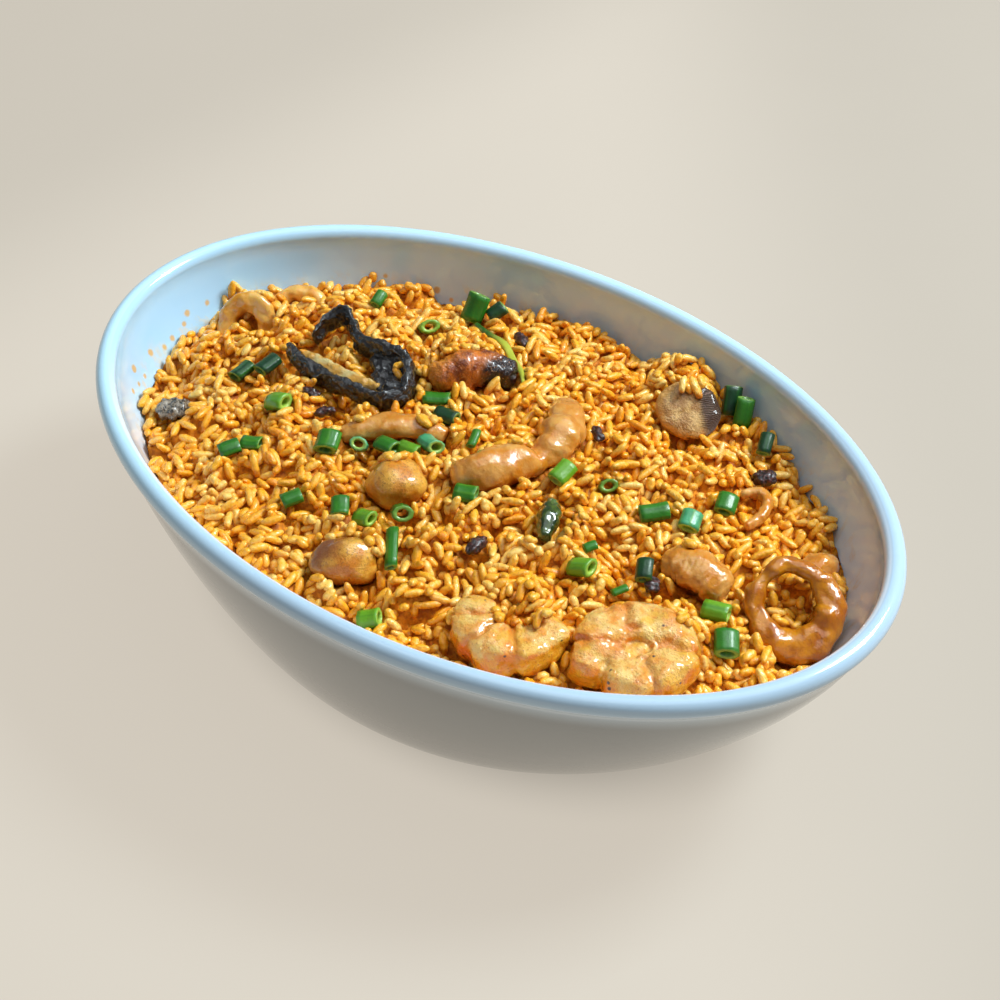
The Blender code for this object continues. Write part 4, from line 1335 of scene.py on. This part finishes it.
def mushroom_finish():
    """Cut mushroom: grey-tan face in a browned rim, purple-brown gills at one side."""
    f = Finish("mushroom_cut")
    across, tall, face = f.tone("Red"), f.tone("Green"), f.tone("Blue")
    cloud = f.noise(3.0, 3.0, 0.6)
    fine = f.noise(0.6, 3.0, 0.65)
    colour = f.mix(f.mask(cloud, 0.35, 0.65), srgb(170, 118, 52), srgb(222, 178, 108))
    colour = f.mix(f.mask(fine, 0.55, 0.68) * 0.5, colour, srgb(118, 78, 40))
    out = (across - 0.5) ** 2.0 + (tall - 0.5) ** 2.0
    rim = f.mask(out + (cloud - 0.5) * 0.03, 0.11, 0.15)
    colour = f.mix(rim * 0.7, colour, srgb(212, 152, 70))
    colour = f.mix(f.mask(face, 0.6, 0.4), colour, srgb(120, 70, 24))
    gills = f.mask(across + tall * 0.6 + (cloud - 0.5) * 0.2, 0.93, 1.06)
    ribs = f.node("ShaderNodeTexWave", {"bands_direction": "Z"}, {
        "Vector": f.place(), "Scale": 0.9, "Distortion": 3.0}, 1)
    colour = f.mix(gills * 0.9, colour, f.mix(ribs, srgb(44, 28, 28), srgb(104, 76, 72)))
    return f.paint(base_color=colour, roughness=0.22 + 0.25 * fine, coat_weight=0.4,
                   coat_roughness=0.1, normal=f.bump(fine + gills * ribs, 0.6))


# stations of the fungus: its near band, its far wall and its torn edge
NEAR_BAND = ((-74.4, 2.8, 54.0, 0.9, 2.0), (-70.4, 0.4, 54.2, 1.5, 3.2),
             (-63.0, -1.2, 54.0, 1.9, 3.6), (-53.0, -1.8, 54.6, 1.8, 3.5),
             (-43.0, -1.8, 55.6, 1.7, 3.2), (-35.0, -0.6, 56.4, 1.6, 3.0),
             (-30.2, 3.6, 56.8, 1.7, 3.0))
FAR_WALL = ((-70.8, 9.8, 55.2, 0.9, 2.8), (-71.2, 16.6, 56.6, 1.0, 3.8),
            (-68.0, 20.8, 58.4, 1.1, 4.0), (-62.8, 18.2, 58.0, 1.1, 4.0),
            (-55.8, 14.6, 57.0, 1.3, 4.4), (-47.0, 14.8, 57.2, 1.5, 4.8),
            (-38.8, 14.6, 57.4, 1.6, 4.8), (-33.4, 9.6, 57.4, 1.8, 4.4),
            (-30.2, 4.0, 57.0, 1.8, 3.4))
CREAM_EDGE = ((-67.6, 2.0, 55.4, 1.3, 0.7), (-62.0, 2.2, 55.4, 2.0, 0.9),
              (-54.0, 1.6, 55.8, 2.1, 0.9), (-46.0, 1.4, 56.6, 1.9, 0.9),
              (-39.0, 2.2, 57.4, 1.3, 0.7))


def black_fungus():
    """A crumpled cup of black fungus, its torn cream edge along the inside of the near band."""
    bm = fused([skin(NEAR_BAND, 90, 24, reach=0.3), skin(FAR_WALL, 110, 24, reach=0.3),
                lump((-35.6, 5.6, 56.4), (3.8, 3.0, 2.8), 30),
                lump((-32.8, 2.6, 57.0), (2.8, 2.8, 2.6)),
                lump((-38.6, 3.4, 55.8), (2.6, 2.2, 2.2)),
                lump((-39.6, 9.6, 55.4), (6.6, 4.2, 2.2), 20),
                lump((-45.6, 12.0, 55.6), (4.4, 3.0, 2.4))], 0.42)
    roughen(bm, 3.0, 0.9, 22.0)
    roughen(bm, 1.1, 0.55, 23.0)
    paint_points(bm, lambda v, old: (0.0, 0.0, 0.0, 1.0))
    edge = skin(CREAM_EDGE, 60, 20, up=(0, -0.5, 1), reach=0.5)
    roughen(edge, 1.6, 0.5, 24.0)
    paint_points(edge, lambda v, old: (0.0, 0.0, 1.0, 1.0))
    return join([bm, edge])


def fungus_finish():
    """Wrinkled wet black skin, with a torn edge of cream."""
    f = Finish("black_fungus")
    wrinkle = f.noise(0.9, 4.0, 0.65, warp=0.8)
    cloud = f.noise(4.0, 2.0)
    colour = f.mix(f.mask(wrinkle, 0.4, 0.75), srgb(8, 6, 8), srgb(30, 27, 34))
    colour = f.mix(f.mask(cloud, 0.5, 0.7) * 0.6, colour, srgb(34, 14, 12))
    cream = f.mix(f.mask(cloud, 0.35, 0.65), srgb(224, 160, 54), srgb(228, 206, 138))
    colour = f.mix(f.tone("Blue"), colour, cream)
    return f.paint(base_color=colour, roughness=0.08 + 0.16 * wrinkle, coat_weight=0.9,
                   coat_roughness=0.06, specular_ior_level=0.6, normal=f.bump(wrinkle, 0.6))


def grey_piece():
    """A small crumpled piece against the left wall."""
    bm = ball((5.4, 4.0, 2.8))
    roughen(bm, 2.0, 1.1, 24.0)
    roughen(bm, 0.8, 0.35, 25.0)
    return pose(bm, (-86.4, -34.0, 47.6), 39)


def grey_finish():
    """Grey-tan flesh with dark brown patches."""
    f = Finish("grey_skin")
    patch = f.noise(1.2, 3.0, 0.65, warp=0.5)
    colour = f.mix(f.mask(patch, 0.38, 0.6), srgb(34, 26, 20), srgb(148, 134, 116))
    return f.paint(base_color=colour, roughness=0.22, coat_weight=0.5, normal=f.bump(patch, 0.5))


def green_pepper():
    """A dark green piece, pointed at both ends."""
    bm = skin([(30.0, -5.4, 56.4, 2.2, 2.2), (33.0, -10.6, 57.2, 3.2, 3.0),
               (35.8, -16.0, 56.4, 1.8, 2.0)], 40, 28,
              form=lambda share, angle: 1 + 0.06 * math.cos(5 * angle))
    return roughen(bm, 2.0, 0.4, 26.0)


def pepper_finish():
    """Dark wet green with paler patches."""
    f = Finish("green_pepper")
    cloud = f.noise(2.6, 3.0, 0.6)
    colour = f.mix(f.mask(cloud, 0.35, 0.7), srgb(24, 46, 16), srgb(78, 96, 34))
    colour = f.mix(f.mask(cloud, 0.66, 0.8) * 0.5, colour, srgb(150, 140, 60))
    return f.paint(base_color=colour, roughness=0.12, coat_weight=0.8, coat_roughness=0.05,
                   normal=f.bump(cloud, 0.3))


def make_toppings():
    """Name, mesh, finish, slot and CAD node of every topping."""
    shrimp = shrimp_finish()
    squid = squid_finish("squid_pale", srgb(226, 164, 82), srgb(210, 130, 30),
                         srgb(176, 88, 8), 0.28)
    brown = squid_finish("squid_brown", srgb(206, 130, 8), srgb(174, 94, 2),
                         srgb(112, 52, 0), 0.2)
    clear = squid_finish("clear_strip", srgb(238, 186, 92), srgb(230, 154, 34),
                         srgb(186, 98, 14), 0.4)
    bulb = round_finish()
    return [
        ("shrimp_curled_flesh", curled_shrimp(), shrimp, "shrimp", "shrimp_curled"),
        ("shrimp_bent_flesh", bent_shrimp(), shrimp, "shrimp", "shrimp_bent"),
        ("shrimp_back_flesh", back_shrimp(), brown_shrimp_finish(), "shrimp_brown", "shrimp_back"),
        ("squid_ring_flesh", right_ring(), brown, "squid", "squid_ring"),
        ("squid_tip_flesh", squid_tip(), squid, "squid", "squid_tip"),
        ("squid_fold_flesh", squid_fold(), squid, "squid", "squid_fold"),
        ("squid_barrel_flesh", squid_barrel(), squid, "squid", "squid_barrel"),
        ("squid_flat_flesh", squid_flat(), squid, "squid", "squid_flat"),
        ("squid_hook_flesh", hook_piece(), squid, "squid", "squid_hook"),
        ("arch_strip", arch_piece(), clear, "clear_strip", "arch_piece"),
        ("back_strip_clear", back_strip(), clear, "clear_strip", "back_strip"),
        ("round_middle_skin", round_piece((8.4, 7.6, 7.0), (-8.6, -24.4, 55.6), 19.0), bulb,
         "round", "round_middle"),
        ("round_left_skin", round_piece((9.0, 7.2, 7.0), (-1.2, -53.6, 53.0), 20.0), bulb,
         "round", "round_left"),
        ("mushroom_cap", mushroom_slice(), mushroom_finish(), "mushroom_slice", "mushroom_slice"),
        ("fungus_ribbon", black_fungus(), fungus_finish(), "black_fungus", "black_fungus"),
        ("grey_skin", grey_piece(), grey_finish(), "grey_piece", "grey_piece"),
        ("pepper_skin", green_pepper(), pepper_finish(), "green_pepper", "green_pepper"),
    ]


# x, y, reach, rise and most grains of the clumps that lie over toppings
PERCHES = (
    (31.5, 58.0, 5.0, 1.6, 12), (-11.8, -21.2, 4.0, 1.4, 7), (91.5, 21.5, 4.5, 1.8, 9),
    (-33.5, 26.5, 6.5, 3.4, 26), (-26.5, 29.5, 4.6, 2.4, 12), (-33.6, 18.6, 3.5, 2.0, 7),
    (10.6, 5.2, 3.4, 1.3, 6), (44.0, -36.0, 8.0, 2.4, 40), (46.8, -42.6, 6.0, 3.4, 26),
    (53.2, -41.4, 3.6, 2.6, 8), (66.8, 5.4, 4.0, 1.8, 9), (-33.2, -12.0, 3.6, 1.6, 6),
    (-16.2, -1.6, 3.6, 1.6, 6), (84.0, -17.6, 4.0, 1.8, 8), (-39.0, 9.0, 2.6, 1.0, 2),
    (2.8, -47.6, 3.5, 1.6, 5), (96.0, 8.6, 4.5, 2.0, 14), (-97.5, 20.0, 4.0, 2.0, 8),
)
PERCH_MISSES = 500
PERCH_CEILING = BOWL_HEIGHT - 0.3


def poured_grains(heap):
    """All grains: a bed under the toppings, the open top, then clumps over toppings."""
    covered = heap.top > 0
    heap.height = np.maximum(heap.wall, heap.core())
    inside = heap.wall < heap.level
    draw = np.random.default_rng(7)

    bed = np.where(inside, np.minimum(heap.level - 2.0, heap.under - 0.5), 0.0)
    ceiling = np.where(covered, heap.under + 0.3, heap.level - 0.9)
    grains = pour(heap, bed, ceiling, BED_GRAINS, draw)

    heap.height = np.maximum(heap.height, heap.top)
    open_level = np.where(inside & ~covered, heap.level, 0.0)
    ceiling = np.where(covered, heap.top + 0.9, heap.level + 2.2)
    grains += pour(heap, open_level, ceiling, TOP_GRAINS, draw)

    gx, gy = np.meshgrid(heap.xs, heap.ys, indexing="ij")
    smooth = np.maximum(blurred(heap.height, 5), heap.height - 0.6)
    for x, y, reach, rise, count in PERCHES:
        dome = 1 - ((gx - x) ** 2 + (gy - y) ** 2) / reach ** 2
        level = np.where(dome > 0, smooth + rise * dome, 0.0)
        limit = np.minimum(smooth + rise + 2.2, PERCH_CEILING)
        grains += pour(heap, level, np.where(dome > -1.5, limit, 0.0), count, draw, PERCH_MISSES)

    tones = []
    for x, y, *_ in grains:
        clump = noise.noise(Vector((x / 14, y / 14, 1.5)))
        tones.append((min(max(draw.normal(0.5, 0.22) + 0.35 * clump, 0.0), 1.0), draw.random()))
    return grains, tones


# bend, bluntness and seed of each kind of grain
WHOLE_KINDS = {"rice_straight": (0.0, 2.9, 1.0), "rice_curved": (0.34, 2.7, 5.0),
               "rice_bent": (-0.22, 3.3, 13.0)}
BROKEN_KINDS = {"rice_broken": (0.14, 3.4, 9.0), "rice_short": (-0.10, 2.8, 17.0)}


def make_grains(grains, tones):
    """Share the grains out over the kinds, and make one piece of each kind."""
    finish = rice_finish()
    for kinds, broken in ((WHOLE_KINDS, False), (BROKEN_KINDS, True)):
        for turn, (name, form) in enumerate(kinds.items()):
            picks = [n for n, grain in enumerate(grains)
                     if grain[8] == broken and n % len(kinds) == turn]
            joined_grains(name, base_grain(*form), [grains[n][:8] for n in picks],
                          [tones[n] for n in picks], finish)


def make_food():
    """Toppings and bits go in place first, then the grains are poured round them."""
    toppings = make_toppings()
    onions = onion_cuts()
    bits = small_bits()
    strand = green_strand()
    heap = HeightMap()
    for bm in [row[1] for row in toppings] + onions + bits + [strand]:
        heap.add(bm)
    make_grains(*poured_grains(heap))
    make_core(heap)
    for name, bm, material, slot, node in toppings:
        finish_piece(bm, name, material, slot, [node])
    finish_piece(join(onions), "onion_cuts", onion_finish(), "rice", ["rice"])
    finish_piece(join(bits), "dark_scraps", bit_finish(), "rice", ["rice"])
    finish_piece(strand, "green_strand", strand_finish(), "rice", ["rice"])


# studio

def plain_floor():
    """A pale floor that glows by its own emission as painted light, with a painted shadow under
    the bowl and painted dimming away to the right.
    """
    bm = bmesh.new()
    bmesh.ops.create_grid(bm, x_segments=2, y_segments=2, size=1.0)
    bmesh.ops.scale(bm, vec=Vector((3.0, 3.0, 1.0)), verts=bm.verts[:])
    mesh = bpy.data.meshes.new("floor")
    bm.to_mesh(mesh)
    bm.free()
    floor = bpy.data.objects.new("floor", mesh)
    bpy.context.scene.collection.objects.link(floor)
    f = Finish("floor_paint")
    cloud = f.noise(40.0, 3.0)
    oval = f.node("ShaderNodeMapping", None, {
        "Vector": f.place(), "Scale": (1 / RIM_A, 1 / RIM_B, 1.0)})
    out = f.node("ShaderNodeVectorMath", {"operation": "LENGTH"}, {0: oval}, "Value")
    side = f.axis("X") * RIGHT.x + f.axis("Y") * RIGHT.y
    back = f.axis("X") * AWAY.x + f.axis("Y") * AWAY.y
    # painted light: the floor glows by its own emission, painted dimmer away to the right and
    # towards the far corner
    glow_painted_dimming = f.mix(f.mask(side, 40.0, 170.0), (0.60, 0.545, 0.465), (0.48, 0.435, 0.368))
    glow_painted_dimming = f.mix(f.mask(back - side, 260.0, 420.0), glow_painted_dimming, (0.50, 0.452, 0.382))
    # painted shadow: the glow dims under and round the bowl
    glow_with_painted_shadow = f.mix(f.mask(out, 0.42, 0.86), (0.13, 0.119, 0.102), glow_painted_dimming)
    mesh.materials.append(f.paint(
        base_color=f.mix(cloud, srgb(89, 86, 80), srgb(92, 89, 83)), roughness=0.8,
        emission_color=glow_with_painted_shadow, emission_strength=1.0))


def area_light(name, azimuth, elevation, distance, size, power, colour, at=(0, 0, 0.05)):
    """A square light aimed at the bowl; azimuth is the way it lies from the bowl, from +X."""
    lamp = bpy.data.lights.new(name, "AREA")
    lamp.shape = "SQUARE"
    lamp.size = size
    lamp.energy = power
    lamp.color = colour
    obj = bpy.data.objects.new(name, lamp)
    bpy.context.scene.collection.objects.link(obj)
    az, el = math.radians(azimuth), math.radians(elevation)
    way = Vector((math.cos(az) * math.cos(el), math.sin(az) * math.cos(el), math.sin(el)))
    obj.location = Vector(at) + way * distance
    obj.rotation_mode = "QUATERNION"
    obj.rotation_quaternion = way.to_track_quat("Z", "Y")


def make_lights():
    """A window from behind on the right, a wide soft light above and a pale sky."""
    area_light("window", 58, 48, 1.1, 0.36, 16.0, (0.84, 0.95, 1.0))
    area_light("sky", 60, 82, 1.5, 1.5, 9.0, (0.88, 0.96, 1.0))
    world = bpy.data.worlds.new("studio")
    world.use_nodes = True
    sky = world.node_tree.nodes["Background"]
    sky.inputs["Color"].default_value = (0.92, 0.96, 1.0, 1.0)
    sky.inputs["Strength"].default_value = 0.18
    bpy.context.scene.world = world
    bpy.context.scene.view_settings.view_transform = "Standard"


# metres, degrees and millimetres; the shift is a share of the sensor's width
CAMERA_AT = (0.2445, -0.2992, 0.3862)
CAMERA_AZIMUTH = 39.25
CAMERA_ELEVATION = 42.0
CAMERA_SENSOR = 36.0
CAMERA_LENS = 66.15
CAMERA_SHIFT = (0.02239, -0.00224)


def make_camera():
    """The photograph's viewing angle, as fitted to the lip's oval."""
    az, el = math.radians(CAMERA_AZIMUTH), math.radians(CAMERA_ELEVATION)
    back = Vector((math.sin(az) * math.cos(el), -math.cos(az) * math.cos(el), math.sin(el)))
    right = Vector((math.cos(az), math.sin(az), 0))
    basis = Matrix((right, back.cross(right), back)).transposed()
    data = bpy.data.cameras.new("view")
    data.sensor_width = CAMERA_SENSOR
    data.lens = CAMERA_LENS
    data.shift_x, data.shift_y = CAMERA_SHIFT
    data.clip_start = 0.01
    camera = bpy.data.objects.new("view", data)
    bpy.context.scene.collection.objects.link(camera)
    camera.matrix_world = Matrix.Translation(CAMERA_AT) @ basis.to_4x4()
    bpy.context.scene.camera = camera


make_camera()
make_lights()
plain_floor()
make_bowl()
make_food()
